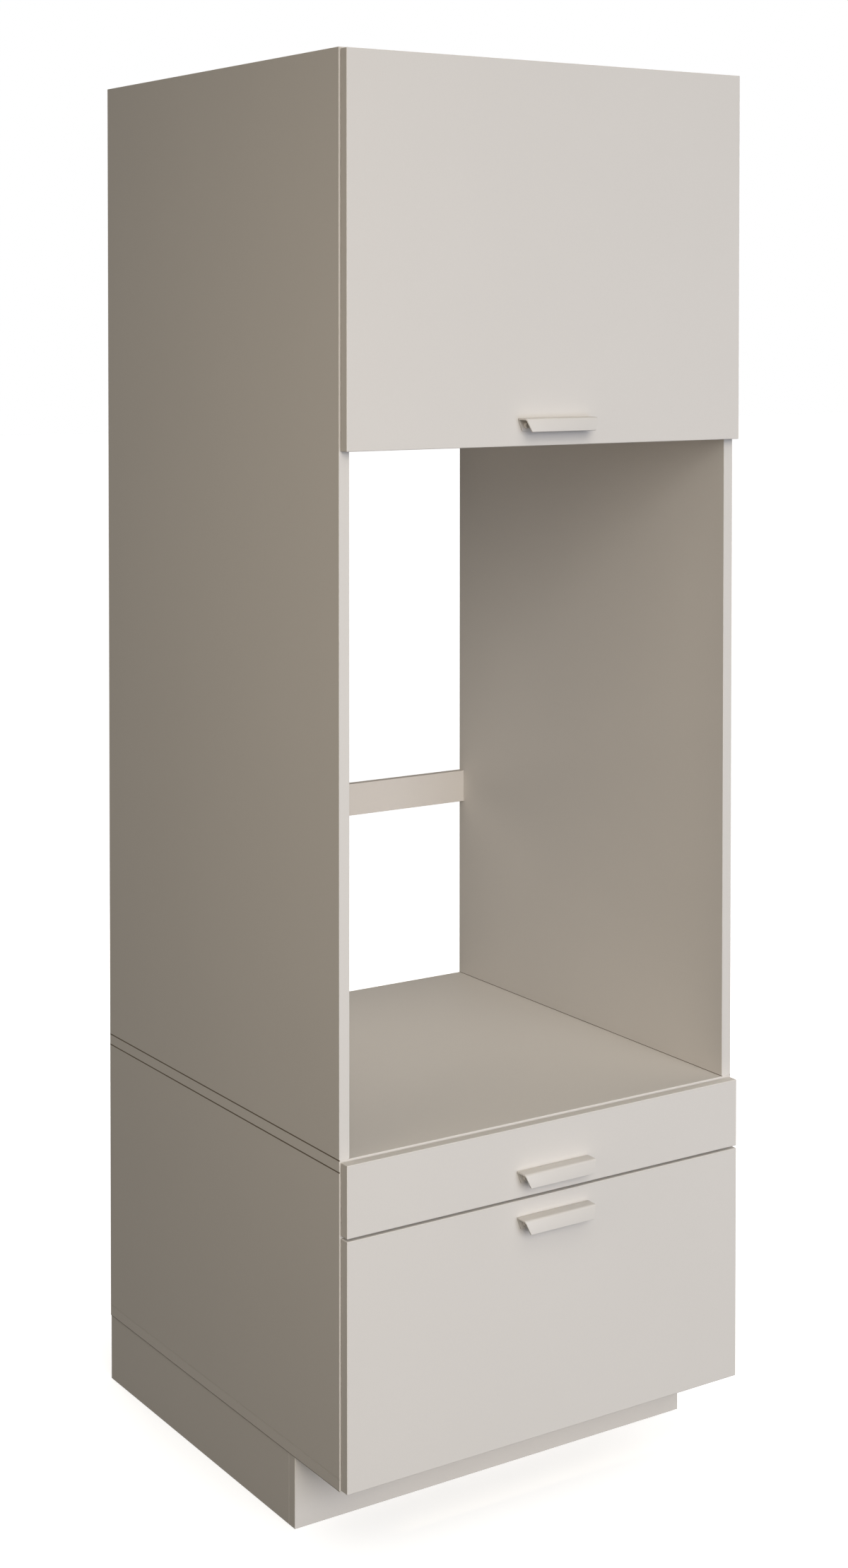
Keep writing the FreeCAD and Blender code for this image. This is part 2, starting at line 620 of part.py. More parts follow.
strut_direction = Vector(0, flap_stud_y - side_stud_y, flap_stud_z - side_stud_z).normalize()


def strut_eye(centre):
    half = RIGHT * (STRUT_EYE_WIDTH / 2)
    ring = rod(centre - half, centre + half, STRUT_EYE_RADIUS)
    bore = rod(centre - half, centre + half, STRUT_STUD_RADIUS + STRUT_STUD_FIT)
    return ring, bore


def strut_cylinder(centre):
    def at(distance):
        return centre + strut_direction * distance
    ring, bore = strut_eye(centre)
    neck_start = (STRUT_COLLAR_RADIUS + STRUT_EYE_RADIUS) / 2
    neck = rod(at(neck_start), at(STRUT_TUBE_START), STRUT_NECK_RADIUS)
    tube = rod(at(STRUT_TUBE_START), at(tube_end), STRUT_TUBE_RADIUS)
    inside = rod(at(STRUT_BORE_START), at(tube_end - STRUT_GLAND), STRUT_TUBE_RADIUS - STRUT_TUBE_WALL)
    mouth = rod(at(STRUT_BORE_START), at(tube_end), STRUT_ROD_RADIUS + STRUT_ROD_CLEARANCE)
    return ring.fuse([neck, tube]).removeSplitter().cut([inside, mouth, bore])


def strut_rod(side_centre, flap_centre):
    inner_end = side_centre + strut_direction * rod_inner_end
    piston_end = inner_end + strut_direction * STRUT_PISTON_LENGTH
    piston_radius = STRUT_TUBE_RADIUS - STRUT_TUBE_WALL - STRUT_ROD_CLEARANCE
    ring, bore = strut_eye(flap_centre)
    shaft = rod(inner_end, flap_centre, STRUT_ROD_RADIUS)
    piston = rod(inner_end, piston_end, piston_radius)
    return ring.fuse([shaft, piston]).removeSplitter().cut(bore)


def stud(seat, outward, gap):
    eye_far = gap + STRUT_EYE_WIDTH + 2 * STRUT_SIDE_PLAY
    pin = rod(seat, seat + outward * (eye_far + STRUT_HEAD_THICKNESS), STRUT_STUD_RADIUS)
    collar = rod(seat, seat + outward * gap, STRUT_COLLAR_RADIUS)
    head_start = seat + outward * eye_far
    head = rod(head_start, head_start + outward * STRUT_HEAD_THICKNESS, STRUT_COLLAR_RADIUS)
    return [pin, collar, head]


def strut_side_bracket(side, name):
    seat_x = inner_half - STRUT_PLATE_THICKNESS
    x = span(side * seat_x, side * inner_half)
    y = (side_stud_y - STRUT_PLATE_WIDTH / 2, side_stud_y + STRUT_PLATE_WIDTH / 2)
    z = (side_stud_z - STRUT_PLATE_HEIGHT / 2, side_stud_z + STRUT_PLATE_HEIGHT / 2)
    gap = STRUT_FROM_SIDE - STRUT_PLATE_THICKNESS - STRUT_EYE_WIDTH / 2 - STRUT_SIDE_PLAY
    seat = Vector(side * seat_x, side_stud_y, side_stud_z)
    bracket = box(x, y, z).fuse(stud(seat, RIGHT * -side, gap)).removeSplitter()
    for offset in pair(STRUT_PLATE_SCREW_SPACING):
        bracket = screw_down(bracket, seat + UP * offset, RIGHT * side,
                             "carcass_short_screws", "upper_side_" + name)
    return bracket


def strut_flap_bracket(side):
    ear_outer = inner_half - STRUT_FROM_SIDE - STRUT_EYE_WIDTH / 2 - STRUT_EAR_GAP
    base_x = span(side * (ear_outer - STRUT_BASE_LENGTH), side * ear_outer)
    base_z = (flap_stud_z - STRUT_BASE_HEIGHT / 2, flap_stud_z + STRUT_BASE_HEIGHT / 2)
    base = box(base_x, (front_inner, front_inner + STRUT_BASE_THICKNESS), base_z)
    ear_x = span(side * (ear_outer - STRUT_EAR_THICKNESS), side * ear_outer)
    ear_y = (front_inner, flap_stud_y + STRUT_COLLAR_RADIUS)
    ear = box(ear_x, ear_y, (flap_stud_z - STRUT_EAR_WIDTH / 2, flap_stud_z + STRUT_EAR_WIDTH / 2))
    seat = Vector(side * ear_outer, flap_stud_y, flap_stud_z)
    gap = STRUT_EAR_GAP - STRUT_SIDE_PLAY
    bracket = base.fuse([ear] + stud(seat, RIGHT * side, gap)).removeSplitter()
    screw_x = side * (ear_outer - (STRUT_BASE_LENGTH + STRUT_EAR_THICKNESS) / 2)
    for offset in pair(STRUT_BASE_SCREW_SPACING):
        point = Vector(screw_x, front_inner + STRUT_BASE_THICKNESS, flap_stud_z + offset)
        bracket = screw_down(bracket, point, -BACKWARD, "flap_short_screws", "flap_front")
    return bracket


for name, side in SIDES.items():
    strut_x = side * (inner_half - STRUT_FROM_SIDE)
    side_centre = Vector(strut_x, side_stud_y, side_stud_z)
    flap_centre = Vector(strut_x, flap_stud_y, flap_stud_z)
    add_to_group("strut_cylinders", strut_cylinder(side_centre))
    add_to_group("strut_rods", strut_rod(side_centre, flap_centre))
    add_to_group("strut_side_brackets", strut_side_bracket(side, name))
    add_to_group("strut_flap_brackets", strut_flap_bracket(side))

# Drawer runners. Sections are drawn from the carcass side inwards (u) and up from the middle (v).

runner_y = (front + RUNNER_SETBACK, back_front - RUNNER_REAR_GAP)
middle_web = RUNNER_SHEET + SHORT_SCREW_HEAD_HEIGHT + RUNNER_PLAY
middle_depth = RUNNER_CABINET_DEPTH - RUNNER_SHEET - RUNNER_PLAY - middle_web
middle_half = RUNNER_HEIGHT / 2 - RUNNER_SHEET - RUNNER_PLAY
foot_u = eased((middle_web, middle_web + middle_depth), -RUNNER_SHEET - RUNNER_PLAY)
foot_v = middle_half - RUNNER_SHEET - RUNNER_PLAY
neck_v = middle_half - RUNNER_LIP - RUNNER_PLAY


def lipped_channel(base, depth, half):
    web = base + RUNNER_SHEET
    edge = base + depth
    upper = [
        (base, half),
        (edge, half),
        (edge, half - RUNNER_LIP),
        (edge - RUNNER_SHEET, half - RUNNER_LIP),
        (edge - RUNNER_SHEET, half - RUNNER_SHEET),
        (web, half - RUNNER_SHEET),
    ]
    return upper + [(u, -v) for u, v in reversed(upper)]


def hat_channel():
    upper = [
        (RUNNER_SPACE, neck_v),
        (foot_u[1], neck_v),
        (foot_u[1], foot_v),
        (foot_u[0], foot_v),
        (foot_u[0], neck_v - RUNNER_SHEET),
        (RUNNER_SPACE - RUNNER_SHEET, neck_v - RUNNER_SHEET),
    ]
    return upper + [(u, -v) for u, v in reversed(upper)]


def rail(section, side, height):
    points = [Vector(side * (inner_half - u), runner_y[0], height + v) for u, v in section]
    return prism(points, BACKWARD * (runner_y[1] - runner_y[0]))


def add_runners(prefix, height):
    screw_ys = stations(runner_y[0], runner_y[1], RUNNER_SCREW_FROM_END)
    for name, side in SIDES.items():
        cabinet_rail = rail(lipped_channel(0, RUNNER_CABINET_DEPTH, RUNNER_HEIGHT / 2), side, height)
        middle_rail = rail(lipped_channel(middle_web, middle_depth, middle_half), side, height)
        drawer_rail = rail(hat_channel(), side, height)
        for y in screw_ys:
            cabinet_point = Vector(side * (inner_half - RUNNER_SHEET), y, height)
            cabinet_rail = screw_down(cabinet_rail, cabinet_point, RIGHT * side,
                                      "carcass_short_screws", "lower_side_" + name)
            drawer_point = Vector(side * (inner_half - RUNNER_SPACE + RUNNER_SHEET), y, height)
            drawer_rail = screw_down(drawer_rail, drawer_point, RIGHT * -side,
                                     prefix + "_short_screws", prefix + "_side_" + name)
        add_to_group(prefix + "_cabinet_rails", cabinet_rail)
        add_to_group(prefix + "_middle_rails", middle_rail)
        add_to_group(prefix + "_drawer_rails", drawer_rail)


# Drawers: a front, two sides, a back let into them and a bottom in grooves

drawer_outer = inner_half - RUNNER_SPACE
drawer_inner = drawer_outer - DRAWER_SIDE_THICKNESS
drawer_rear = back_front - DRAWER_REAR_GAP
drawer_back_rear = drawer_rear - DRAWER_BACK_FROM_END
drawer_back_y = (drawer_back_rear - DRAWER_BACK_THICKNESS, drawer_back_rear)


def add_drawer_box(prefix, box_z):
    for name, side in SIDES.items():
        x = span(side * drawer_inner, side * drawer_outer)
        pieces[prefix + "_side_" + name] = board(x, (front_inner, drawer_rear), box_z)
    sides = (prefix + "_side_left", prefix + "_side_right")
    dado_x = eased((-drawer_inner, drawer_inner), DRAWER_BACK_DADO)
    dado_y = eased(drawer_back_y, GROOVE_CLEARANCE)
    pieces[prefix + "_back"] = box(eased(dado_x, -GROOVE_CLEARANCE), drawer_back_y, box_z)
    drill(box(dado_x, dado_y, box_z), *sides)
    groove_x = eased((-drawer_inner, drawer_inner), DRAWER_BOTTOM_GROOVE)
    groove_y = eased((front_inner, drawer_back_y[0]), DRAWER_BOTTOM_GROOVE)
    bottom_low = box_z[0] + DRAWER_BOTTOM_RISE
    bottom_z = (bottom_low, bottom_low + DRAWER_BOTTOM_THICKNESS)
    pieces[prefix + "_bottom"] = box(eased(groove_x, -GROOVE_CLEARANCE),
                                     eased(groove_y, -GROOVE_CLEARANCE), bottom_z)
    groove = box(groove_x, groove_y, eased(bottom_z, GROOVE_CLEARANCE))
    drill(groove, prefix + "_front", prefix + "_back", *sides)
    return bottom_z[1]


def add_corner_brackets(prefix, floor_z):
    low = floor_z + CORNER_BRACKET_LIFT
    z = (low, low + CORNER_BRACKET_HEIGHT)
    for name, side in SIDES.items():
        side_leg = box(span(side * (drawer_inner - CORNER_BRACKET_SHEET), side * drawer_inner),
                       (front_inner, front_inner + CORNER_BRACKET_LEG), z)
        front_leg = box(span(side * (drawer_inner - CORNER_BRACKET_LEG), side * drawer_inner),
                        (front_inner, front_inner + CORNER_BRACKET_SHEET), z)
        bracket = side_leg.fuse(front_leg).removeSplitter()
        for offset in pair(CORNER_SCREW_SPACING):
            height = low + CORNER_BRACKET_HEIGHT / 2 + offset
            side_point = Vector(side * (drawer_inner - CORNER_BRACKET_SHEET),
                                front_inner + CORNER_SCREW_FROM_CORNER, height)
            front_point = Vector(side * (drawer_inner - CORNER_SCREW_FROM_CORNER),
                                 front_inner + CORNER_BRACKET_SHEET, height)
            screws = prefix + "_short_screws"
            bracket = screw_down(bracket, side_point, RIGHT * side, screws, prefix + "_side_" + name)
            bracket = screw_down(bracket, front_point, -BACKWARD, screws, prefix + "_front")
        add_to_group(prefix + "_corner_brackets", bracket)


def add_drawer(prefix, front_z, box_z, flange_top):
    pieces[prefix + "_front"] = board(front_x, front_y, front_z, FRONT_EDGE_RADIUS)
    floor_z = add_drawer_box(prefix, box_z)
    add_corner_brackets(prefix, floor_z)
    add_runners(prefix, box_z[0] + RUNNER_ABOVE_BOX)
    add_handle(prefix, prefix + "_front", flange_top)


upper_box_z = (upper_front_bottom + UPPER_BOX_RISE, lower_inside_top - UPPER_BOX_TOP_GAP)
lower_box_z = (lower_inside_bottom + LOWER_BOX_RISE, lower_front_top - LOWER_BOX_TOP_GAP)
add_drawer("upper_drawer", (upper_front_bottom, upper_front_top), upper_box_z,
           upper_front_bottom + HANDLE_ABOVE_EDGE)
add_drawer("lower_drawer", (lower_front_bottom, lower_front_top), lower_box_z,
           lower_front_top - HANDLE_BELOW_EDGE)

# Files, one for each piece and one for each group of like pieces

for name, shape in pieces.items():
    shape.exportStep("parts/" + name + ".step")
for name, solids in groups.items():
    Part.makeCompound(solids).exportStep("parts/" + name + ".step")

print("nodes", len(pieces) + len(groups))
print("flap pin at y %.4f z %.4f" % (pin_y, pin_z))
print("strut side stud at y %.4f z %.4f" % (side_stud_y, side_stud_z))
print("strut flap stud at y %.4f z %.4f" % (flap_stud_y, flap_stud_z))
print("strut closed %.1f, open %.1f, tube end %.1f" % (closed_length, open_length, tube_end))
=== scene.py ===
# %% [markdown]
# # A tall washing machine cabinet
#
# The real cabinet is a stack of laminated boards: a plinth, two drawers, an open niche for the
# machine, and a compartment behind a flap that lifts. Its boards, rails and fittings come ready made
# from the CAD model, each at its true size and place, so nothing here moves them. This lesson gives
# each one the finish of the real thing, models anew the pieces that a plain solid doesn't do justice
# to, and lights the whole as in a studio.

# %% Load the cabinet
import json
import math

import bpy
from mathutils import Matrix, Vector


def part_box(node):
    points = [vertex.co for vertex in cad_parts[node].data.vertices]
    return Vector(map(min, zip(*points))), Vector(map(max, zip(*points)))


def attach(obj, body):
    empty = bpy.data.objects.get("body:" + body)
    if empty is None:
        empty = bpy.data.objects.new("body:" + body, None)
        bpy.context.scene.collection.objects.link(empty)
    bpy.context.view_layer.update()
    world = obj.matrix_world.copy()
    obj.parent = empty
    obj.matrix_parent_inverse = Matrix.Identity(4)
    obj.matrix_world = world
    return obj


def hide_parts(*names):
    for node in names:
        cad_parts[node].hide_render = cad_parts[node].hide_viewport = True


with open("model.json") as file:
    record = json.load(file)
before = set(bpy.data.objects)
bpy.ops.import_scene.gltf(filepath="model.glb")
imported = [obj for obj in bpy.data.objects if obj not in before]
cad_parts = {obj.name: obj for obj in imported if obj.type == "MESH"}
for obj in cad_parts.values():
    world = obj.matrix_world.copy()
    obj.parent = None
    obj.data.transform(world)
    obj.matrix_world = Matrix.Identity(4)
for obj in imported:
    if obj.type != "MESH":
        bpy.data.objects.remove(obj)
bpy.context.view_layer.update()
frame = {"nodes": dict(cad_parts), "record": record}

nodes = frame["nodes"]

# %% [markdown]
# ## The camera
#
# The cabinet is seen from a little left of its front, from a tall person's eye height. Its upright
# edges run parallel in the picture, which takes a nearly level camera whose lens is shifted down.
# A camera tilted to the middle of the cabinet would need no shift, but its uprights would lean. The
# values come from a fit of the cabinet's edges. A small tilt keeps the shift short, because the shift
# also pushes the cabinet off centre when it is looked at from elsewhere.

# %% Place the camera
CAMERA_PLACE = (-1.9869, -2.9991, 1.6444)
CAMERA_TURN = -32.867
CAMERA_TILT = 1.4
CAMERA_LENS = 55.208
LENS_SHIFT = (0.02058, -0.2551)

camera_data = bpy.data.cameras.new("studio_camera")
camera_data.lens = CAMERA_LENS
camera_data.shift_x, camera_data.shift_y = LENS_SHIFT
camera = bpy.data.objects.new("studio_camera", camera_data)
camera.location = CAMERA_PLACE
camera.rotation_euler = (math.radians(90 - CAMERA_TILT), 0, math.radians(CAMERA_TURN))
bpy.context.scene.collection.objects.link(camera)
bpy.context.scene.camera = camera

# %% [markdown]
# ## Shader maths in plain Python
#
# A finish is a chain of shader nodes, and much of it is arithmetic: a noise times a strength, one
# minus a mask. Dragging Math nodes about for that is slow to read, so a small class stands for a
# node's output and lets Python's own signs add the Math nodes. Every other node comes from its one
# `node` method, which sets the node's options first and then its sockets.

# %% A wire between shader nodes
class Wire:
    """One output of a shader node."""

    def __init__(self, tree, socket):
        self.tree = tree
        self.socket = socket

    def node(self, kind, options=None, sockets=None, output=0):
        made = self.tree.nodes.new(kind)
        for name, value in (options or {}).items():
            if name == "stops":
                set_stops(made.color_ramp, value)
            else:
                setattr(made, name, value)
        for key, value in (sockets or {}).items():
            if isinstance(value, Wire):
                self.tree.links.new(value.socket, made.inputs[key])
            else:
                made.inputs[key].default_value = value
        return Wire(self.tree, made.outputs[output] if made.outputs else None)

    def maths(self, operation, *values):
        return self.node("ShaderNodeMath", {"operation": operation}, dict(enumerate(values)))

    def __add__(self, other):
        return self.maths("ADD", self, other)

    def __sub__(self, other):
        return self.maths("SUBTRACT", self, other)

    def __rsub__(self, other):
        return self.maths("SUBTRACT", other, self)

    def __mul__(self, other):
        return self.maths("MULTIPLY", self, other)

    __radd__ = __add__
    __rmul__ = __mul__


def set_stops(ramp, stops):
    while len(ramp.elements) < len(stops):
        ramp.elements.new(1.0)
    for element, (place, colour) in zip(ramp.elements, stops):
        element.position = place
        element.color = (*colour, 1.0)


print("a wire can:", ", ".join(name for name in vars(Wire) if not name.startswith("__")))

# %% Masks and patterns
def lower_of(first, second):
    return first.maths("MINIMUM", first, second)


def step_up(wire, start, end):
    options = {"interpolation_type": "SMOOTHSTEP"}
    return wire.node("ShaderNodeMapRange", options, {"Value": wire, "From Min": start, "From Max": end})


def along(point, axis):
    return point.node("ShaderNodeSeparateXYZ", None, {"Vector": point}, axis)


def stretched(point, scale):
    return point.node("ShaderNodeMapping", None, {"Vector": point, "Scale": scale})


def noise(point, scale, detail=2.0, roughness=0.5):
    sockets = {"Vector": point, "Scale": scale, "Detail": detail, "Roughness": roughness}
    return point.node("ShaderNodeTexNoise", None, sockets)


def cells(point, scale, output):
    return point.node("ShaderNodeTexVoronoi", None, {"Vector": point, "Scale": scale}, output)


def relief(height, depth, strength=1.0):
    sockets = {"Strength": strength, "Distance": depth, "Height": height}
    return height.node("ShaderNodeBump", None, sockets)


print("masks: lower_of, step_up. places: along, stretched. patterns: noise, cells, relief")

# %% Colours
SCREEN_WHITE = 255
SRGB_KNEE = 0.04045
SRGB_SLOPE = 12.92
SRGB_LIFT = 0.055
SRGB_POWER = 2.4
MIX_FACTOR = 0
MIX_FIRST_COLOUR = 6
MIX_SECOND_COLOUR = 7
MIX_RESULT_COLOUR = 2


def linear(*levels):
    """A colour as it is picked on screen, from 0 to 255, in the linear light that shaders use."""
    def one(level):
        share = level / SCREEN_WHITE
        if share <= SRGB_KNEE:
            return share / SRGB_SLOPE
        return ((share + SRGB_LIFT) / (1 + SRGB_LIFT)) ** SRGB_POWER
    return tuple(one(level) for level in levels)


def tint(factor, first, second):
    colours = {MIX_FACTOR: factor}
    for key, colour in ((MIX_FIRST_COLOUR, first), (MIX_SECOND_COLOUR, second)):
        colours[key] = colour if isinstance(colour, Wire) else (*colour, 1.0)
    return factor.node("ShaderNodeMix", {"data_type": "RGBA"}, colours, MIX_RESULT_COLOUR)


def greyed(colour):
    return colour.node("ShaderNodeRGBToBW", None, {"Color": colour})


print("a middle grey of 128 on screen is", round(linear(128)[0], 3), "in linear light")

# %% Begin and end a finish
STEADY_SOCKETS = {"specular": "Specular IOR Level", "metallic": "Metallic"}


def start_finish(name):
    material = bpy.data.materials.new(name)
    material.use_nodes = True
    tree = material.node_tree
    point = Wire(tree, tree.nodes.new("ShaderNodeTexCoord").outputs["Object"])
    return material, point


def finish_with(material, colour, rough, bump, **steady):
    """Links what varies, and sets what is the same all over on the shader's own sockets."""
    shader = material.node_tree.nodes["Principled BSDF"]
    varying = {"Base Color": colour, "Roughness": rough, "Normal": bump}
    for name, wire in varying.items():
        material.node_tree.links.new(wire.socket, shader.inputs[name])
    for name, value in steady.items():
        shader.inputs[STEADY_SOCKETS[name]].default_value = value
    return material


print("the same all over a finish:", ", ".join(STEADY_SOCKETS.values()))

# %% [markdown]
# ## Laminated board
#
# Every board is particle board between two sheets of melamine, with a strip of the same colour ironed
# on its edges. Up close the sheet has a fine pearl grain, the strip is smoother, and a hair-thin glue
# line shows between them. Where a board is drilled or grooved, its brown core shows. One flat colour
# can't say that. The finish is worked out from the board's own box instead: how deep a point lies
# from each side of the box tells whether it is on a face, on the edge strip or in a cut. The same
# depths find the foot and the head of a side board, where a dark line of painted shade stands in
# for the shadow in the joint.

# %% The core of a board
CORE_STOPS = (
    (0.0, linear(122, 96, 68)),
    (0.35, linear(164, 134, 98)),
    (0.65, linear(194, 168, 132)),
    (1.0, linear(216, 197, 166)),
)
CHIP_SCALE = 420.0
CHIP_FLATNESS = (1.0, 1.0, 2.2)
CHIP_SHARE = 0.6
DUST_SCALE = 1500.0
MM_PER_M = 1000


def particle_core(point):
    chips = cells(stretched(point, CHIP_FLATNESS), CHIP_SCALE, "Color")
    dust = noise(point, DUST_SCALE, detail=3.0)
    mixed = greyed(chips) * CHIP_SHARE + dust * (1 - CHIP_SHARE)
    return chips.node("ShaderNodeValToRGB", {"stops": CORE_STOPS}, {"Fac": mixed})


print("core of", len(CORE_STOPS), "browns, chips about", round(MM_PER_M / CHIP_SCALE, 1), "mm across")

# %% Where a point lies on its board
ACROSS_WIDTH = 0
ACROSS_DEPTH = 1
ACROSS_HEIGHT = 2
EDGE_STRIP = 0.0010
GLUE_LINE = 0.00018
CUT_DEPTH = 0.0005
CUT_BLUR = 1.4
# The width and blur of the painted shade in the joints
SEAM_WIDTH = 0.0008
SEAM_BLUR = 1.3


def depth_inside(point, low, high, axis):
    place = along(point, axis)
    return lower_of(place - low[axis], high[axis] - place)


def edge_and_cut(depths, thin):
    """The edge strip, the glue line beside it, and the walls of cuts, from a point's depths."""
    from_edge = lower_of(*[depths[axis] for axis in range(3) if axis != thin])
    strip = 1 - step_up(from_edge, EDGE_STRIP - GLUE_LINE / 2, EDGE_STRIP + GLUE_LINE / 2)
    past_line = step_up(from_edge, EDGE_STRIP, EDGE_STRIP + GLUE_LINE)
    glue = (1 - strip) * (1 - past_line)
    cut = step_up(lower_of(from_edge, depths[thin]), CUT_DEPTH, CUT_DEPTH * CUT_BLUR)
    return strip, glue, cut


def painted_joint_shade(point, low, high, side_depth, foot, head):
    """Painted shade: dark lines at a board's foot and head, on the faces that look left and right, for the
    shadow in a joint's gap.
    """
    def close(depth):
        return 1 - step_up(depth, SEAM_WIDTH, SEAM_WIDTH * SEAM_BLUR)

    height = along(point, ACROSS_HEIGHT)
    return (close(height - low.z) * foot + close(high.z - height) * head) * close(side_depth)


widths = {"edge strip": EDGE_STRIP, "glue line": GLUE_LINE, "joint line": SEAM_WIDTH}
print("widths in mm:", {name: round(width * MM_PER_M, 2) for name, width in widths.items()})

# %% The laminated board finish
GLUE_BROWN = linear(138, 110, 80)
GLUE_TINT = 0.35
# Painted shade: the colour of the dark line where two boards meet, standing in for the shadow in the
# joint's gap
SEAM_PAINTED_SHADE = linear(104, 93, 80)
CLOUD_SCALE = 5.0
GRAIN_SCALE = 1300.0
SPECKLE_SCALE = 420.0
SPECKLE_SHARE = 0.5
SPECKLE_DULLS = 0.06
STRIP_SHINES = 0.05
CUT_DULLS = 0.35
STRIP_SMOOTHS = 0.6
GLUE_DIPS = 1.5
SHEET_RELIEF = 0.00003
BOARD_SPECULAR = 0.05


def laminated(name, node, pale, deep, gloss, joint_shade_strengths=(0.0, 0.0)):
    """Sheets, edge strips, glue lines, painted shade in the joints, and cuts, all from the board's own
    box.
    """
    low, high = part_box(node)
    sides = high - low
    thin = min(range(3), key=lambda axis: sides[axis])
    material, point = start_finish(name)
    depths = [depth_inside(point, low, high, axis) for axis in range(3)]
    strip, glue, cut = edge_and_cut(depths, thin)
    joint_shade = painted_joint_shade(point, low, high, depths[ACROSS_WIDTH], *joint_shade_strengths)

    clouds = noise(point, CLOUD_SCALE, detail=3.0)
    grain = noise(point, GRAIN_SCALE, roughness=0.6)
    speckle = noise(point, SPECKLE_SCALE)
    chips = cells(point, CHIP_SCALE, "Distance")
    sheet = tint(clouds * (1 - SPECKLE_SHARE) + speckle * SPECKLE_SHARE, deep, pale)
    lined = tint(glue * GLUE_TINT, sheet, GLUE_BROWN)
    # Paints the shade of the joints into the colour
    joined = tint(joint_shade, lined, SEAM_PAINTED_SHADE)
    colour = tint(cut, joined, particle_core(point))
    rough = gloss + speckle * SPECKLE_DULLS - strip * STRIP_SHINES + cut * CUT_DULLS
    rise = grain * (1 - strip * STRIP_SMOOTHS) - glue * GLUE_DIPS + cut * chips
    bump = relief(rise, SHEET_RELIEF, strength=0.5)
    return finish_with(material, colour, rough, bump, specular=BOARD_SPECULAR)


print("a laminated board's sheet has speckles about", round(MM_PER_M / SPECKLE_SCALE, 1), "mm across")

# %% Laminate on the carcass, the plinth and the fronts
GREIGE = linear(211, 206, 200)
GREIGE_DEEP = linear(206, 201, 195)
# Painted shade: the niche's rear rail gets a darker copy of the greige, for the shade it stands in at the
# back of the niche
RAIL_SHADED_GREIGE = linear(201, 194, 186)
RAIL_SHADED_GREIGE_DEEP = linear(196, 189, 181)
CARCASS_GLOSS = 0.56
FRONT_GLOSS = 0.52
# How strongly the painted joint shade is drawn at each board's foot and head
FAINT = 0.15
PLAIN = 1.0
JOINT_SHADE_STRENGTHS = {
    "upper_side_left": (PLAIN, 0.0),
    "upper_side_right": (PLAIN, 0.0),
    "niche_floor_panel": (PLAIN, PLAIN),
    "lower_side_left": (FAINT, PLAIN),
    "lower_side_right": (FAINT, PLAIN),
    "bottom_panel": (PLAIN, FAINT),
}

slot_of = {part["node"]: part["material_slot"] for part in frame["record"]["subparts"]}


def with_slot(slot):
    return [name for name, its_slot in slot_of.items() if its_slot == slot]


def dress(name, material):
    mesh = nodes[name].data
    mesh.materials.clear()
    mesh.materials.append(material)


carcass_boards = with_slot("carcass_laminate")
front_boards = with_slot("front_laminate")
for name in carcass_boards:
    # The niche's rear rail takes the darker greige of painted shade
    pale, deep = (RAIL_SHADED_GREIGE, RAIL_SHADED_GREIGE_DEEP) if name == "niche_rear_rail" else (GREIGE, GREIGE_DEEP)
    joint_shade_strengths = JOINT_SHADE_STRENGTHS.get(name, (0.0, 0.0))
    dress(name, laminated("greige_board_" + name, name, pale, deep, CARCASS_GLOSS, joint_shade_strengths))
for name in front_boards:
    dress(name, laminated("greige_front_" + name, name, GREIGE, GREIGE_DEEP, FRONT_GLOSS))
print("laminated", len(carcass_boards), "carcass boards and", len(front_boards), "fronts")

# %% [markdown]
# ## Plain boards: raw chipboard and faced hardboard
#
# Nobody sees the plinth's rear rail, its bearer or its corner blocks, so on the real cabinet they are
# bare particle board: pressed chips, coarse in the middle, with a dull rough surface. The backs and
# the drawers' bottoms are 3 mm hardboard, painted on the side that shows and left brown and fibrous on
# the other. Both finishes reuse the noise and cell textures at the size of real chips and fibres.

# %% Raw chipboard
RAW_ROUGH = 0.82
RAW_ROUGH_SPAN = 0.12
RAW_RELIEF = 0.0002


def raw_chipboard(name):
    material, point = start_finish(name)
    chips = cells(point, CHIP_SCALE, "Distance")
    rough = RAW_ROUGH + chips * RAW_ROUGH_SPAN
    bump = relief(chips + noise(point, DUST_SCALE), RAW_RELIEF, strength=0.6)
    return finish_with(material, particle_core(point), rough, bump, specular=0.2)


chipboard = raw_chipboard("raw_chipboard")
for name in with_slot("raw_board"):
    dress(name, chipboard)
    print("raw chipboard on", name)

# %% Faced hardboard
FIBRE_LIGHT = linear(180, 158, 132)
FIBRE_DARK = linear(150, 128, 102)
FIBRE_LENGTH = (1.0, 1.0, 0.35)
FIBRE_SCALE = 900.0
FIBRE_SHARE = 0.7
FIBRE_RISES = 0.3
FIBRE_DULLS = 0.05
PRESS_SCALE = 700.0
STAIN_SCALE = 14.0
SKIN = 0.0003
SKIN_BLUR = 1.5
PAINT_ROUGH = 0.5
BARE_DULLS = 0.35
PRESS_RELIEF = 0.00012


def faced_hardboard(name, node, axis, paint, paint_deep, painted_low):
    low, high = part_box(node)
    material, point = start_finish(name)
    place = along(point, axis)
    depth = place - low[axis] if painted_low else high[axis] - place
    bare = step_up(depth, SKIN, SKIN * SKIN_BLUR)
    fibres = noise(stretched(point, FIBRE_LENGTH), FIBRE_SCALE, detail=4.0, roughness=0.7)
    press_print = cells(point, PRESS_SCALE, "Distance")
    clouds = noise(point, STAIN_SCALE, detail=3.0)
    brown = tint(fibres * FIBRE_SHARE + clouds * (1 - FIBRE_SHARE), FIBRE_DARK, FIBRE_LIGHT)
    painted = tint(clouds, paint_deep, paint)
    colour = tint(bare, painted, brown)
    rough = PAINT_ROUGH + bare * BARE_DULLS + fibres * FIBRE_DULLS
    bump = relief(fibres * FIBRE_RISES + bare * press_print, PRESS_RELIEF, strength=0.5)
    return finish_with(material, colour, rough, bump, specular=0.3)


print("hardboard is bare from", round(SKIN * MM_PER_M, 2), "mm under its painted face")

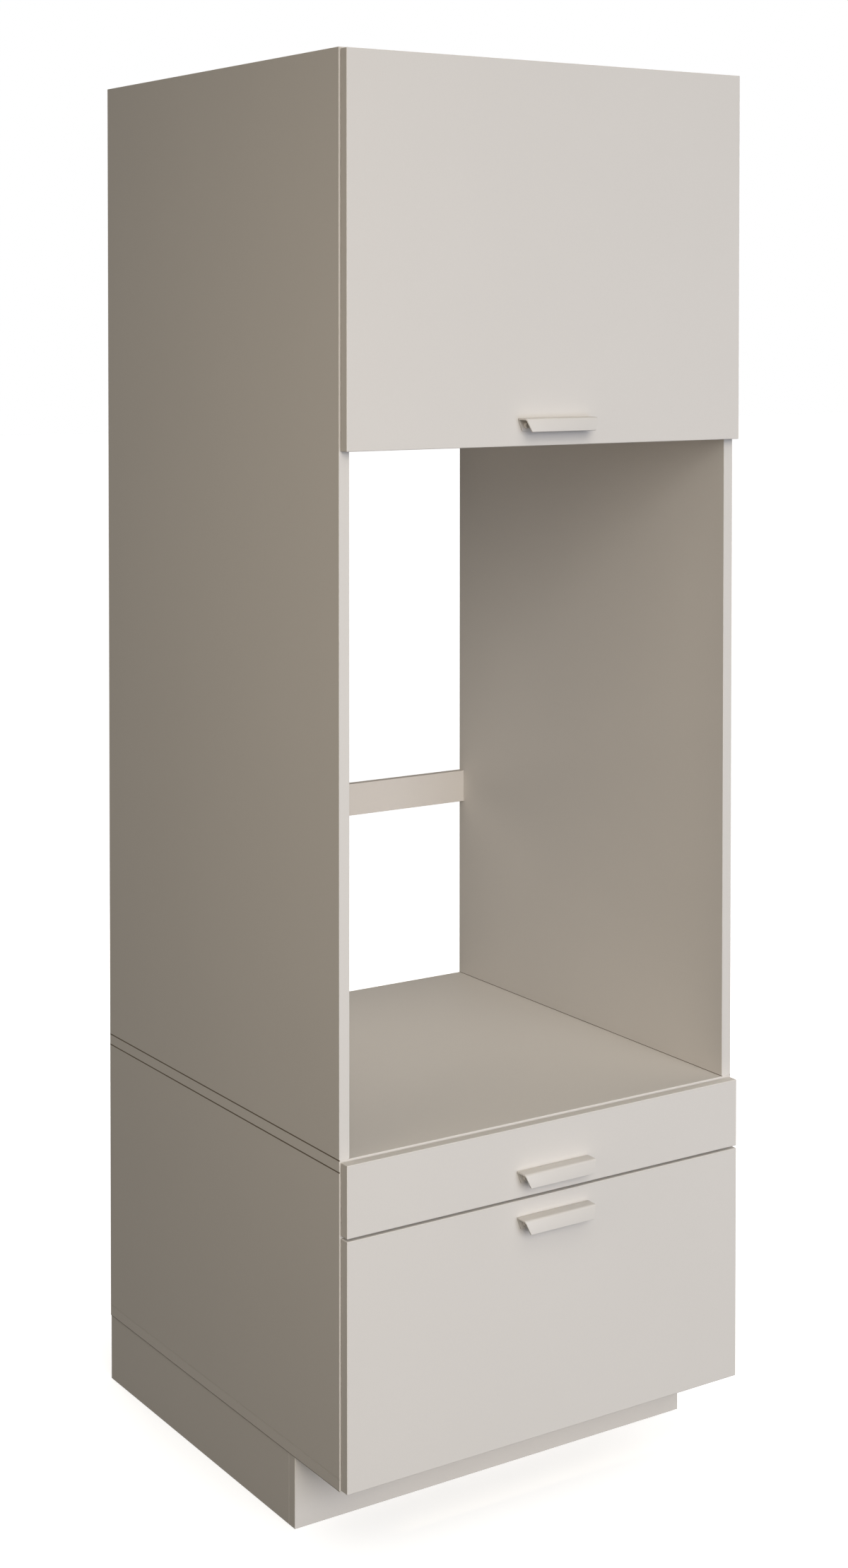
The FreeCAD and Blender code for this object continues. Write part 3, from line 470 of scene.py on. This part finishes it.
# %% Backs and drawer boards
DRAWER_PALE = linear(229, 227, 222)
DRAWER_DEEP = linear(223, 221, 216)
DRAWER_GLOSS = 0.5

for name, slot in slot_of.items():
    if slot == "back_hardboard":
        dress(name, faced_hardboard("faced_" + name, name, ACROSS_DEPTH, GREIGE, GREIGE_DEEP, True))
    elif slot == "drawer_bottom":
        dress(name, faced_hardboard("faced_" + name, name, ACROSS_HEIGHT, DRAWER_PALE, DRAWER_DEEP, False))
    elif slot == "drawer_laminate":
        dress(name, laminated("pale_board_" + name, name, DRAWER_PALE, DRAWER_DEEP, DRAWER_GLOSS))
    else:
        continue
    print("dressed", name)

# %% [markdown]
# ## Metal, rubber and beech
#
# The fittings are few materials in many shapes. Runner rails and brackets are rolled from galvanised
# sheet, whose zinc sets in faint flakes and picks up fine streaks along the rolling. Cam locks and
# hinge cups are cast, so they are duller and grainy. The strut rods are ground and polished, and the
# struts' tubes are sprayed black. Each finish varies its roughness more than its colour, because that
# is what the eye reads on metal.

# %% Metal
FLAKE_SCALE = 160.0
FLAKE_SHARE = 0.4
STREAK_SCALE = 60.0
METAL_GRAIN_SCALE = 2600.0


def metal(name, light, deep, rough_low, rough_span, streaks_run, grain_depth):
    material, point = start_finish(name)
    flake = greyed(cells(point, FLAKE_SCALE, "Color"))
    streaks = noise(stretched(point, streaks_run), STREAK_SCALE, detail=4.0, roughness=0.6)
    grain = noise(point, METAL_GRAIN_SCALE)
    colour = tint(flake * FLAKE_SHARE + streaks * (1 - FLAKE_SHARE), deep, light)
    rough = rough_low + streaks * rough_span + flake * rough_span * FLAKE_SHARE
    bump = relief(grain + streaks, grain_depth, strength=0.4)
    return finish_with(material, colour, rough, bump, metallic=1.0)


print("zinc flakes about", round(MM_PER_M / FLAKE_SCALE, 1), "mm across")

# %% Four metals
ZINC = linear(212, 214, 216)
ZINC_DEEP = linear(188, 191, 194)
CAST = linear(190, 191, 190)
CAST_DEEP = linear(160, 161, 161)
PLATED = linear(206, 205, 200)
PLATED_DEEP = linear(178, 176, 170)
POLISHED = linear(232, 232, 232)
POLISHED_DEEP = linear(214, 215, 217)
ALONG_DEPTH = (12.0, 0.5, 12.0)
ALONG_HEIGHT = (30.0, 30.0, 1.0)
EVERY_WAY = (3.0, 3.0, 3.0)

metals = {
    "zinc_steel": metal("galvanised_sheet", ZINC, ZINC_DEEP, rough_low=0.28, rough_span=0.2,
                        streaks_run=ALONG_DEPTH, grain_depth=0.00002),
    "zinc_casting": metal("zinc_casting", CAST, CAST_DEEP, rough_low=0.42, rough_span=0.16,
                          streaks_run=EVERY_WAY, grain_depth=0.00006),
    "screw_steel": metal("plated_screws", PLATED, PLATED_DEEP, rough_low=0.24, rough_span=0.16,
                         streaks_run=EVERY_WAY, grain_depth=0.00002),
    "bright_steel": metal("polished_rod", POLISHED, POLISHED_DEEP, rough_low=0.08, rough_span=0.08,
                          streaks_run=ALONG_HEIGHT, grain_depth=0.00001),
}
for slot, finish in metals.items():
    for name in with_slot(slot):
        dress(name, finish)
print("metals:", ", ".join(metals))

# %% Paint, rubber and beech
HAZE_SCALE = 30.0
HAZE_SHARE = 0.6
SPECK_SCALE = 2200.0
SPECK_DULLS = 0.5
SPECK_RISES = 0.2
BEECH = linear(226, 192, 150)
BEECH_DEEP = linear(190, 146, 100)
BEECH_FIBRE = (1.0, 1.0, 0.1)
BEECH_FIBRE_SCALE = 1800.0
BEECH_FIBRE_SHARE = 0.7
BEECH_FLECK = (1.0, 1.0, 0.2)
BEECH_FLECK_SCALE = 900.0
BEECH_ROUGH = 0.6
BEECH_ROUGH_SPAN = 0.15
BEECH_RELIEF = 0.0001


def sprayed(name, light, deep, rough_low, rough_span, peel_scale, peel_depth, specular):
    material, point = start_finish(name)
    peel = noise(point, peel_scale)
    haze = noise(point, HAZE_SCALE, detail=3.0)
    specks = noise(point, SPECK_SCALE)
    colour = tint(haze * HAZE_SHARE + specks * (1 - HAZE_SHARE), deep, light)
    rough = rough_low + haze * rough_span + specks * rough_span * SPECK_DULLS
    bump = relief(peel + specks * SPECK_RISES, peel_depth, strength=0.5)
    return finish_with(material, colour, rough, bump, specular=specular)


def beech_wood(name):
    material, point = start_finish(name)
    fibres = noise(stretched(point, BEECH_FIBRE), BEECH_FIBRE_SCALE, detail=4.0, roughness=0.6)
    flecks = cells(stretched(point, BEECH_FLECK), BEECH_FLECK_SCALE, "Distance")
    colour = tint(fibres * BEECH_FIBRE_SHARE + flecks * (1 - BEECH_FIBRE_SHARE), BEECH_DEEP, BEECH)
    rough = BEECH_ROUGH + fibres * BEECH_ROUGH_SPAN
    return finish_with(material, colour, rough, relief(fibres, BEECH_RELIEF, strength=0.5))


print("beech fibres about", round(MM_PER_M / BEECH_FIBRE_SCALE, 1), "mm wide")

# %% Struts, bumpers, handles and dowels
ENAMEL = linear(44, 44, 46)
ENAMEL_DEEP = linear(34, 34, 36)
RUBBER = linear(224, 223, 219)
RUBBER_DEEP = linear(212, 211, 206)
POWDER = linear(204, 199, 193)
POWDER_DEEP = linear(199, 194, 188)

others = {
    "strut_paint": sprayed("black_enamel", ENAMEL, ENAMEL_DEEP, rough_low=0.3, rough_span=0.1,
                           peel_scale=500.0, peel_depth=0.00004, specular=0.5),
    "bumper_rubber": sprayed("soft_bumper", RUBBER, RUBBER_DEEP, rough_low=0.6, rough_span=0.1,
                             peel_scale=900.0, peel_depth=0.00004, specular=0.3),
    "handle_paint": sprayed("handle_powder", POWDER, POWDER_DEEP, rough_low=0.42, rough_span=0.08,
                            peel_scale=1100.0, peel_depth=0.00005, specular=0.4),
    "beech": beech_wood("beech_dowel"),
}
for slot, finish in others.items():
    for name in with_slot(slot):
        dress(name, finish)
bare_nodes = [name for name in slot_of if not nodes[name].data.materials]
print("finishes:", len(bpy.data.materials), "nodes without one:", len(bare_nodes))

# %% [markdown]
# ## The folded handles
#
# Each handle is one strip of steel, folded twice and powder coated in the colour of the fronts: a leg
# against the front, a flange that stands out, and a lip that leans out a little and hides the fingers.
# Its ends are cut at a slant. The CAD has the same folds with sharp corners, but a real fold is round
# and a coated edge catches a line of light. So the strip is made as a sheet from a plane: two edges are
# pulled out and down, the folds are rounded, and Solidify gives it its thickness at the end.

# %% Pick and shape parts of a mesh
def near(first, second, reach=1e-5):
    return abs(first - second) < reach


def select_parts(piece, kind, test):
    """In edit mode, selects the edges or faces whose middle passes the test."""
    bpy.ops.object.mode_set(mode="EDIT")
    bpy.ops.mesh.select_mode(type=kind)
    bpy.ops.mesh.select_all(action="DESELECT")
    bpy.ops.object.mode_set(mode="OBJECT")
    mesh = piece.data
    parts = {"EDGE": mesh.edges, "FACE": mesh.polygons}[kind]
    chosen = 0
    for part in parts:
        ends = list(part.vertices)
        middle = sum((mesh.vertices[end].co for end in ends), Vector()) / len(ends)
        part.select = test(middle)
        chosen += part.select
    bpy.ops.object.mode_set(mode="EDIT")
    return chosen


def pull(shift):
    bpy.ops.mesh.extrude_region_move(TRANSFORM_OT_translate={"value": shift})


def apply_modifier(piece, kind, **settings):
    bpy.ops.object.mode_set(mode="OBJECT")
    bpy.context.view_layer.objects.active = piece
    modifier = piece.modifiers.new(kind.lower(), kind)
    for name, value in settings.items():
        setattr(modifier, name, value)
    bpy.ops.object.modifier_apply(modifier=modifier.name)


print("for meshes: near, select_parts, pull, apply_modifier")

# %% Place, copy and hand over a piece
def only(piece):
    bpy.ops.object.select_all(action="DESELECT")
    piece.select_set(True)
    bpy.context.view_layer.objects.active = piece


def settle(piece):
    """Puts a piece's place, turn and size into its mesh."""
    only(piece)
    bpy.ops.object.transform_apply(location=True, rotation=True, scale=True)


def new_cylinder(sides, radius, depth, place, turn=(0.0, 0.0, 0.0)):
    bpy.ops.object.select_all(action="DESELECT")
    bpy.ops.mesh.primitive_cylinder_add(vertices=sides, radius=radius, depth=depth,
                                        location=place, rotation=turn)
    piece = bpy.context.object
    settle(piece)
    return piece


def own_copy(piece):
    copy = piece.copy()
    copy.data = piece.data.copy()
    bpy.context.scene.collection.objects.link(copy)
    return copy


def smooth(piece, degrees):
    only(piece)
    bpy.ops.object.shade_smooth_by_angle(angle=math.radians(degrees))


def stand_in(piece, node, body):
    """A modelled piece takes a CAD node's place, its finish and its motion."""
    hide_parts(node)
    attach(piece, body)
    piece.data.materials.clear()
    piece.data.materials.append(nodes[node].data.materials[0])
    print(piece.name, len(piece.data.polygons), "faces, rides on", body)


print("for pieces: only, settle, new_cylinder, own_copy, smooth, stand_in")

# %% One handle
LIP_LEAN = 0.0055
END_SLANT = 0.0065
SHEET = 0.0025
FOLD_RADIUS = 0.003
FOLD_STEPS = 5

tip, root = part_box("flap_handle")
handle_length = root.x - tip.x
drop = root.z - tip.z
fold_y = tip.y + LIP_LEAN
bpy.ops.object.select_all(action="DESELECT")
bpy.ops.mesh.primitive_plane_add(size=1.0, location=(0.0, (fold_y + root.y) / 2, root.z))
handle = bpy.context.object
handle.name = "handle_flap"
handle.scale = (handle_length, root.y - fold_y, 1.0)
settle(handle)

select_parts(handle, "EDGE", lambda middle: near(middle.y, fold_y))
pull((0.0, -LIP_LEAN, -drop))
select_parts(handle, "EDGE", lambda middle: near(middle.y, root.y))
pull((0.0, 0.0, -drop))
select_parts(handle, "EDGE", lambda middle: near(middle.z, tip.z))
shorter = 1 - 2 * END_SLANT / handle_length
bpy.ops.transform.resize(value=(shorter, 1.0, 1.0), center_override=(0.0, root.y, tip.z))
folds = select_parts(handle, "EDGE", lambda middle: near(middle.x, 0.0) and near(middle.z, root.z))
bpy.ops.mesh.bevel(offset=FOLD_RADIUS, segments=FOLD_STEPS, affect="EDGES")
apply_modifier(handle, "SOLIDIFY", thickness=SHEET, offset=-1.0, use_even_offset=True)
print("handle strip:", folds, "folds,", len(handle.data.polygons), "faces")

# %% Its bosses, its edges and its two copies
QUARTER_TURN = math.radians(90)
BOSS_SIDES = 32
BOSS_RADIUS = 0.0045
BOSS_LENGTH = 0.0075
BOSS_APART = 0.048
BOSS_BELOW = 0.010
COATED_EDGE = 0.0005
EDGE_STEPS = 2
SHARP_ANGLE = 40
HANDLE_SMOOTHING = 35

for x in (-BOSS_APART, BOSS_APART):
    place = (x, root.y - BOSS_LENGTH / 2, root.z - BOSS_BELOW)
    boss = new_cylinder(BOSS_SIDES, BOSS_RADIUS, BOSS_LENGTH, place, turn=(QUARTER_TURN, 0.0, 0.0))
    apply_modifier(handle, "BOOLEAN", operation="UNION", object=boss, solver="EXACT")
    bpy.data.objects.remove(boss)
apply_modifier(handle, "BEVEL", width=COATED_EDGE, segments=EDGE_STEPS, limit_method="ANGLE",
               angle_limit=math.radians(SHARP_ANGLE))
smooth(handle, HANDLE_SMOOTHING)
for drawer in ("upper_drawer", "lower_drawer"):
    copy = own_copy(handle)
    copy.name = "handle_" + drawer
    copy.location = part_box(drawer + "_handle")[1] - root
    settle(copy)
    stand_in(copy, drawer + "_handle", drawer)
stand_in(handle, "flap_handle", "flap")

# %% [markdown]
# ## Screws with a cross in the head
#
# The runner rails, brackets, hinges and struts are held by short screws with round heads, and the
# handles by longer ones from inside. In the CAD each is a stepped cylinder. A real head is domed, and
# the cross for the screwdriver is what makes it read as a screw. One screw of each size is turned from
# a cylinder: its rim is rounded, its underside is drawn in to the shank, and two bars cut the cross.
# The places come from the CAD node itself: each of its solids has a screw's axis and a wider end.

# %% Find the solids in a CAD node
# Hundredths of a millimetre in a metre
HUNDREDTHS = 1e5


def solids_in(node):
    """The points of each separate solid in a node, whose mesh is loose triangles."""
    mesh = nodes[node].data
    keys = [tuple(round(value * HUNDREDTHS) for value in vertex.co) for vertex in mesh.vertices]
    leader = {key: key for key in keys}

    def leader_of(key):
        while leader[key] != key:
            key = leader[key]
        return key

    for face in mesh.polygons:
        first = leader_of(keys[face.vertices[0]])
        for corner in face.vertices:
            leader[leader_of(keys[corner])] = first
    solids = {}
    for key, vertex in zip(keys, mesh.vertices):
        solids.setdefault(leader_of(key), []).append(vertex.co.copy())
    return list(solids.values())


def corners_of(points):
    low = Vector([min(point[axis] for point in points) for axis in range(3)])
    high = Vector([max(point[axis] for point in points) for axis in range(3)])
    return low, high


def end_of(low, high, axis, facing):
    """The middle of one end of a box, and the way that it faces."""
    middle = (low + high) / 2
    middle[axis] = high[axis] if facing > 0 else low[axis]
    out = Vector((0.0, 0.0, 0.0))
    out[axis] = facing
    return middle, out


print("solids in carcass_short_screws:", len(solids_in("carcass_short_screws")))

# %% Find where each screw sits and faces
END_REACH = 1e-4
SCREW_NODES = {
    "carcass_short_screws": "carcass",
    "flap_short_screws": "flap",
    "upper_drawer_short_screws": "upper_drawer",
    "lower_drawer_short_screws": "lower_drawer",
    "flap_handle_screws": "flap",
    "upper_drawer_handle_screws": "upper_drawer",
    "lower_drawer_handle_screws": "lower_drawer",
}


def screw_seat(points):
    """The middle of a screw's head, the way that the head faces, and the screw's length."""
    low, high = corners_of(points)
    sides = high - low
    axis = max(range(3), key=lambda which: sides[which])
    middle = (low + high) / 2

    def widest(end):
        ring = [point for point in points if near(point[axis], end, END_REACH)]
        return max((point - middle)[which] for point in ring for which in range(3) if which != axis)

    facing = 1 if widest(high[axis]) > widest(low[axis]) else -1
    return *end_of(low, high, axis, facing), sides[axis]


screw_seats = {node: [screw_seat(points) for points in solids_in(node)] for node in SCREW_NODES}
print("screws:", {node: len(found) for node, found in screw_seats.items()})

# %% Round a rim and cut a cross
RIM_SHARE = 0.99


def cut_cross(piece, length, width, depth):
    bpy.ops.object.mode_set(mode="OBJECT")
    for turn in (0.0, QUARTER_TURN):
        bpy.ops.object.select_all(action="DESELECT")
        bpy.ops.mesh.primitive_cube_add(size=1.0, rotation=(0.0, 0.0, turn))
        bar = bpy.context.object
        bar.scale = (length, width, depth * 2)
        settle(bar)
        apply_modifier(piece, "BOOLEAN", operation="DIFFERENCE", object=bar, solver="EXACT")
        bpy.data.objects.remove(bar)


def round_rim(piece, radius, width, steps):
    """Rounds the outer edge of a round piece's upper face, which lies at the height of the origin."""
    inside = RIM_SHARE * radius
    select_parts(piece, "EDGE", lambda middle: near(middle.z, 0.0) and middle.xy.length > inside)
    bpy.ops.mesh.bevel(offset=width, segments=steps, affect="EDGES")


print("a rim's edges have their middle beyond", RIM_SHARE, "of the radius")

# %% Copy a pattern to every seat
FACING_UP = Vector((0.0, 0.0, 1.0))


def set_copies(seats, model, patterns):
    """Sets a copy at every seat, and models a pattern only for a size that has none yet."""
    copies = []
    for place, out, *size in seats:
        key = tuple(round(length * HUNDREDTHS) for length in size)
        if key not in patterns:
            patterns[key] = model(*size)
        copy = own_copy(patterns[key])
        copy.rotation_mode = "QUATERNION"
        copy.rotation_quaternion = FACING_UP.rotation_difference(out)
        copy.location = place
        settle(copy)
        copies.append(copy)
    return copies


def join_as(name, pieces):
    only(pieces[0])
    for piece in pieces:
        piece.select_set(True)
    bpy.ops.object.join()
    pieces[0].name = name
    return pieces[0]


def put_away(patterns):
    print("patterns by size in hundredths of a millimetre:", sorted(patterns))
    for pattern in patterns.values():
        bpy.data.objects.remove(pattern)


print("patterns face", tuple(FACING_UP), "until they are copied")

# %% Model a screw and set it in its places
SCREW_SIDES = 24
HEAD_RADIUS = 0.004
SHORT_HEAD_HEIGHT = 0.0015
LONG_HEAD_HEIGHT = 0.0024
LONG_SCREW = 0.016
SHANK_RADIUS = 0.0018
POINT_SHARE = 0.2
POINT_WIDTH = 0.3
RIM_ROUND = 0.7
RIM_STEPS = 4
CROSS_WIDTH = 0.0011
CROSS_LENGTH = 0.0048
CROSS_DEPTH = 0.0009
SMALL_SMOOTHING = 40


def one_screw(length):
    head_height = SHORT_HEAD_HEIGHT if length < LONG_SCREW else LONG_HEAD_HEIGHT
    screw = new_cylinder(SCREW_SIDES, HEAD_RADIUS, head_height, (0.0, 0.0, -head_height / 2))
    select_parts(screw, "FACE", lambda middle: near(middle.z, -head_height))
    bpy.ops.mesh.inset(thickness=HEAD_RADIUS - SHANK_RADIUS)
    shank = length - head_height
    pull((0.0, 0.0, -shank * (1 - POINT_SHARE)))
    pull((0.0, 0.0, -shank * POINT_SHARE))
    bpy.ops.transform.resize(value=(POINT_WIDTH, POINT_WIDTH, 1.0), center_override=(0.0, 0.0, -length))
    round_rim(screw, HEAD_RADIUS, head_height * RIM_ROUND, RIM_STEPS)
    cut_cross(screw, CROSS_LENGTH, CROSS_WIDTH, CROSS_DEPTH)
    smooth(screw, SMALL_SMOOTHING)
    return screw


screw_patterns = {}
for node, body in SCREW_NODES.items():
    screws = set_copies(screw_seats[node], one_screw, screw_patterns)
    stand_in(join_as("cross_head_" + node, screws), node, body)
put_away(screw_patterns)

# %% [markdown]
# ## Cam locks
#
# Boards that come flat in a box are drawn together by cams: a cast disc, sunk flush in a board, that a
# quarter turn pulls against the head of a bolt. What shows is the disc's face, with a rounded rim, a
# shallow ring and a deep cross for the screwdriver. The CAD has plain discs, so one disc of each depth
# is modelled with `inset` and `bevel` and copied to its places. It must face out of the board, so the
# board that holds its middle is looked up, and the nearer face of that board is the side it shows on.

# %% Find where each cam sits and faces
def holds(node, point):
    low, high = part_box(node)
    return all(low[axis] < point[axis] < high[axis] for axis in range(3))


def cam_seat(points):
    """The middle of a cam's face, the way that it faces, its depth and its radius."""
    low, high = corners_of(points)
    sides = high - low
    axis = min(range(3), key=lambda which: sides[which])
    board = next(name for name in carcass_boards if holds(name, (low + high) / 2))
    board_low, board_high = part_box(board)
    facing = 1 if board_high[axis] - high[axis] < low[axis] - board_low[axis] else -1
    return *end_of(low, high, axis, facing), sides[axis], max(sides) / 2


cam_seats = [cam_seat(points) for points in solids_in("cam_locks")]
cam_depths = {round(depth * MM_PER_M, 1) for _, _, depth, _ in cam_seats}
print("cams:", len(cam_seats), "depths", sorted(cam_depths), "mm")

# %% Model a cam of each depth and set it in its places
CAM_SIDES = 40
CAM_RIM = 0.0005
CAM_RIM_STEPS = 3
RING_INSET = 0.0012
RING_DEPTH = 0.0003
CAM_CROSS_WIDTH = 0.0018
CAM_CROSS_LENGTH = 0.0086
CAM_CROSS_DEPTH = 0.0040


def one_cam(depth, radius):
    cam = new_cylinder(CAM_SIDES, radius, depth, (0.0, 0.0, -depth / 2))
    select_parts(cam, "FACE", lambda middle: near(middle.z, 0.0))
    bpy.ops.mesh.inset(thickness=RING_INSET)
    bpy.ops.mesh.inset(thickness=RING_DEPTH)
    bpy.ops.transform.translate(value=(0.0, 0.0, -RING_DEPTH))
    round_rim(cam, radius, CAM_RIM, CAM_RIM_STEPS)
    cut_cross(cam, CAM_CROSS_LENGTH, CAM_CROSS_WIDTH, CAM_CROSS_DEPTH)
    smooth(cam, SMALL_SMOOTHING)
    return cam


cam_patterns = {}
cams = set_copies(cam_seats, one_cam, cam_patterns)
put_away(cam_patterns)
stand_in(join_as("cross_cut_cams", cams), "cam_locks", "carcass")

# %% [markdown]
# ## The studio
#
# The cabinet stands on a plain pale floor in soft light from the front, so the fronts are bright, the
# niche's floor is half lit and the left side lies in shade. Bare lamps on a white floor could do it,
# but lamps strong enough to turn the floor white would burn out the pale boards as well. So the floor
# and the world look white to the camera and in reflections, and give little light of their own. The
# floor still mixes in some plain matt colour, which keeps the cabinet's shadow, and more of it close to
# the cabinet's foot, where little of the room is in sight. There an ambient occlusion node also dims the
# floor's white emission, a painted contact shadow around the cabinet's foot.

# %% The floor
FLOOR_SIZE = 60.0
FLOOR_PALE = (0.8, 0.79, 0.78)
FLOOR_DIM = (0.06, 0.06, 0.06)
FLOOR_GLOW = 2.2
SHADOW_SHARE = 0.6
# How far and how strongly the painted contact shadow reaches
CONTACT_REACH = 0.25
CONTACT_PAINTED_SHADOW = 0.4
RAYS_THAT_SEE = ("Is Camera Ray", "Is Glossy Ray", "Is Transmission Ray")


def seen_directly(tree):
    path = tree.nodes.new("ShaderNodeLightPath")
    camera_ray, glossy_ray, clear_ray = [Wire(tree, path.outputs[name]) for name in RAYS_THAT_SEE]
    return lower_of(camera_ray + glossy_ray + clear_ray, 1.0)


bpy.ops.object.select_all(action="DESELECT")
bpy.ops.mesh.primitive_plane_add(size=FLOOR_SIZE)
floor = bpy.context.object
floor.name = "studio_floor"
floor_material = bpy.data.materials.new("pale_floor")
floor_material.use_nodes = True
floor_tree = floor_material.node_tree
floor_tree.nodes.clear()
seen = seen_directly(floor_tree)
matt = seen.node("ShaderNodeBsdfDiffuse", None, {"Color": tint(seen, FLOOR_DIM, FLOOR_PALE)})
white = seen.node("ShaderNodeEmission", None, {"Strength": FLOOR_GLOW})
# Painted shadow: ambient occlusion dims the floor's white emission close to the cabinet's foot
clear = seen.node("ShaderNodeAmbientOcclusion", None, {"Distance": CONTACT_REACH}, "AO")
glow_with_painted_shadow = seen * (1 - SHADOW_SHARE) * (1 - (1 - clear) * CONTACT_PAINTED_SHADOW)
mixed = seen.node("ShaderNodeMixShader", None, {0: glow_with_painted_shadow, 1: matt, 2: white})
seen.node("ShaderNodeOutputMaterial", None, {"Surface": mixed})
floor.data.materials.append(floor_material)
print("floor", FLOOR_SIZE, "m wide")

# %% The world
AMBIENT = (1.0, 0.90, 0.75, 1.0)
AMBIENT_STRENGTH = 0.02
BACKDROP = (1.0, 1.0, 1.0, 1.0)

world = bpy.data.worlds.new("studio_world")
bpy.context.scene.world = world
world.use_nodes = True
world.node_tree.nodes.clear()
seen = seen_directly(world.node_tree)
around = seen.node("ShaderNodeBackground", None, {"Color": AMBIENT, "Strength": AMBIENT_STRENGTH})
backdrop = seen.node("ShaderNodeBackground", None, {"Color": BACKDROP, "Strength": 1.0})
mixed = seen.node("ShaderNodeMixShader", None, {0: seen, 1: around, 2: backdrop})
seen.node("ShaderNodeOutputWorld", None, {"Surface": mixed})
print("ambient strength", AMBIENT_STRENGTH)

# %% Two kinds of lamp
def hang(name, data, colour):
    data.color = colour
    lamp = bpy.data.objects.new(name, data)
    bpy.context.scene.collection.objects.link(lamp)
    return lamp


def area_lamp(name, place, target, wide, tall, watts, colour):
    data = bpy.data.lights.new(name, "AREA")
    data.shape = "RECTANGLE"
    data.size = wide
    data.size_y = tall
    data.energy = watts
    lamp = hang(name, data, colour)
    lamp.location = place
    lamp.rotation_euler = (Vector(target) - Vector(place)).to_track_quat("-Z", "Y").to_euler()
    lamp.visible_camera = False


def sun_lamp(name, up, side, softness, strength, colour):
    data = bpy.data.lights.new(name, "SUN")
    data.energy = strength
    data.angle = math.radians(softness)
    lamp = hang(name, data, colour)
    lamp.rotation_euler = (math.radians(90 - up), 0, math.radians(side))


print("for lamps: area_lamp, sun_lamp")

# %% [markdown]
# ## Where the lamps stand
#
# Two broad suns, one low and one high, make the soft light from the front left, and a large panel
# straight in front evens it out. A warm lamp at the left lifts the shaded side a little, more towards
# its front. The right and the back get a lamp each, because the cabinet is also looked at from there.
# A white room throws light back from everywhere. Three small lamps stand for that: one over the top,
# one under the drawers for the plinth, and one that shines across the niche as its left wall would.

# %% Set the lamps
sun_lamp("soft_key", up=20.3, side=-17.5, softness=34.0, strength=1.56, colour=(1.0, 0.96, 0.89))
sun_lamp("high_key", up=48.0, side=-10.0, softness=50.0, strength=0.76, colour=(1.0, 0.97, 0.88))
area_lamp("front_panel", place=(0.3, -4.2, 1.2), target=(0.1, 0.0, 1.15), wide=1.6, tall=2.4,
          watts=70.4, colour=(0.782, 0.848, 1.0))
area_lamp("side_fill", place=(-1.5, -0.75, 1.36), target=(-0.34, -0.2, 1.3), wide=0.6, tall=2.0,
          watts=5.55, colour=(1.0, 0.885, 0.73))
area_lamp("right_fill", place=(2.4, -0.1, 1.3), target=(0.3, -0.1, 1.2), wide=0.8, tall=2.0,
          watts=25.0, colour=(1.0, 0.97, 0.94))
area_lamp("rear_fill", place=(0.13, 3.4, 0.9), target=(0.08, 0.3, 1.0), wide=0.8, tall=1.8,
          watts=54.0, colour=(1.0, 0.90, 0.78))
area_lamp("crown_fill", place=(0.0, 0.1, 2.95), target=(0.0, 0.1, 2.0), wide=0.6, tall=0.6,
          watts=5.0, colour=(1.0, 0.97, 0.93))
area_lamp("plinth_bounce", place=(0.08, -0.30, 0.03), target=(0.08, -0.2, 0.06), wide=0.6, tall=0.05,
          watts=0.04, colour=(1.0, 0.84, 0.62))
area_lamp("niche_bounce", place=(-0.31, 0.24, 0.95), target=(0.3, 0.24, 0.95), wide=0.2, tall=0.4,
          watts=0.50, colour=(1.0, 0.96, 0.90))

bpy.context.scene.view_settings.view_transform = "Standard"
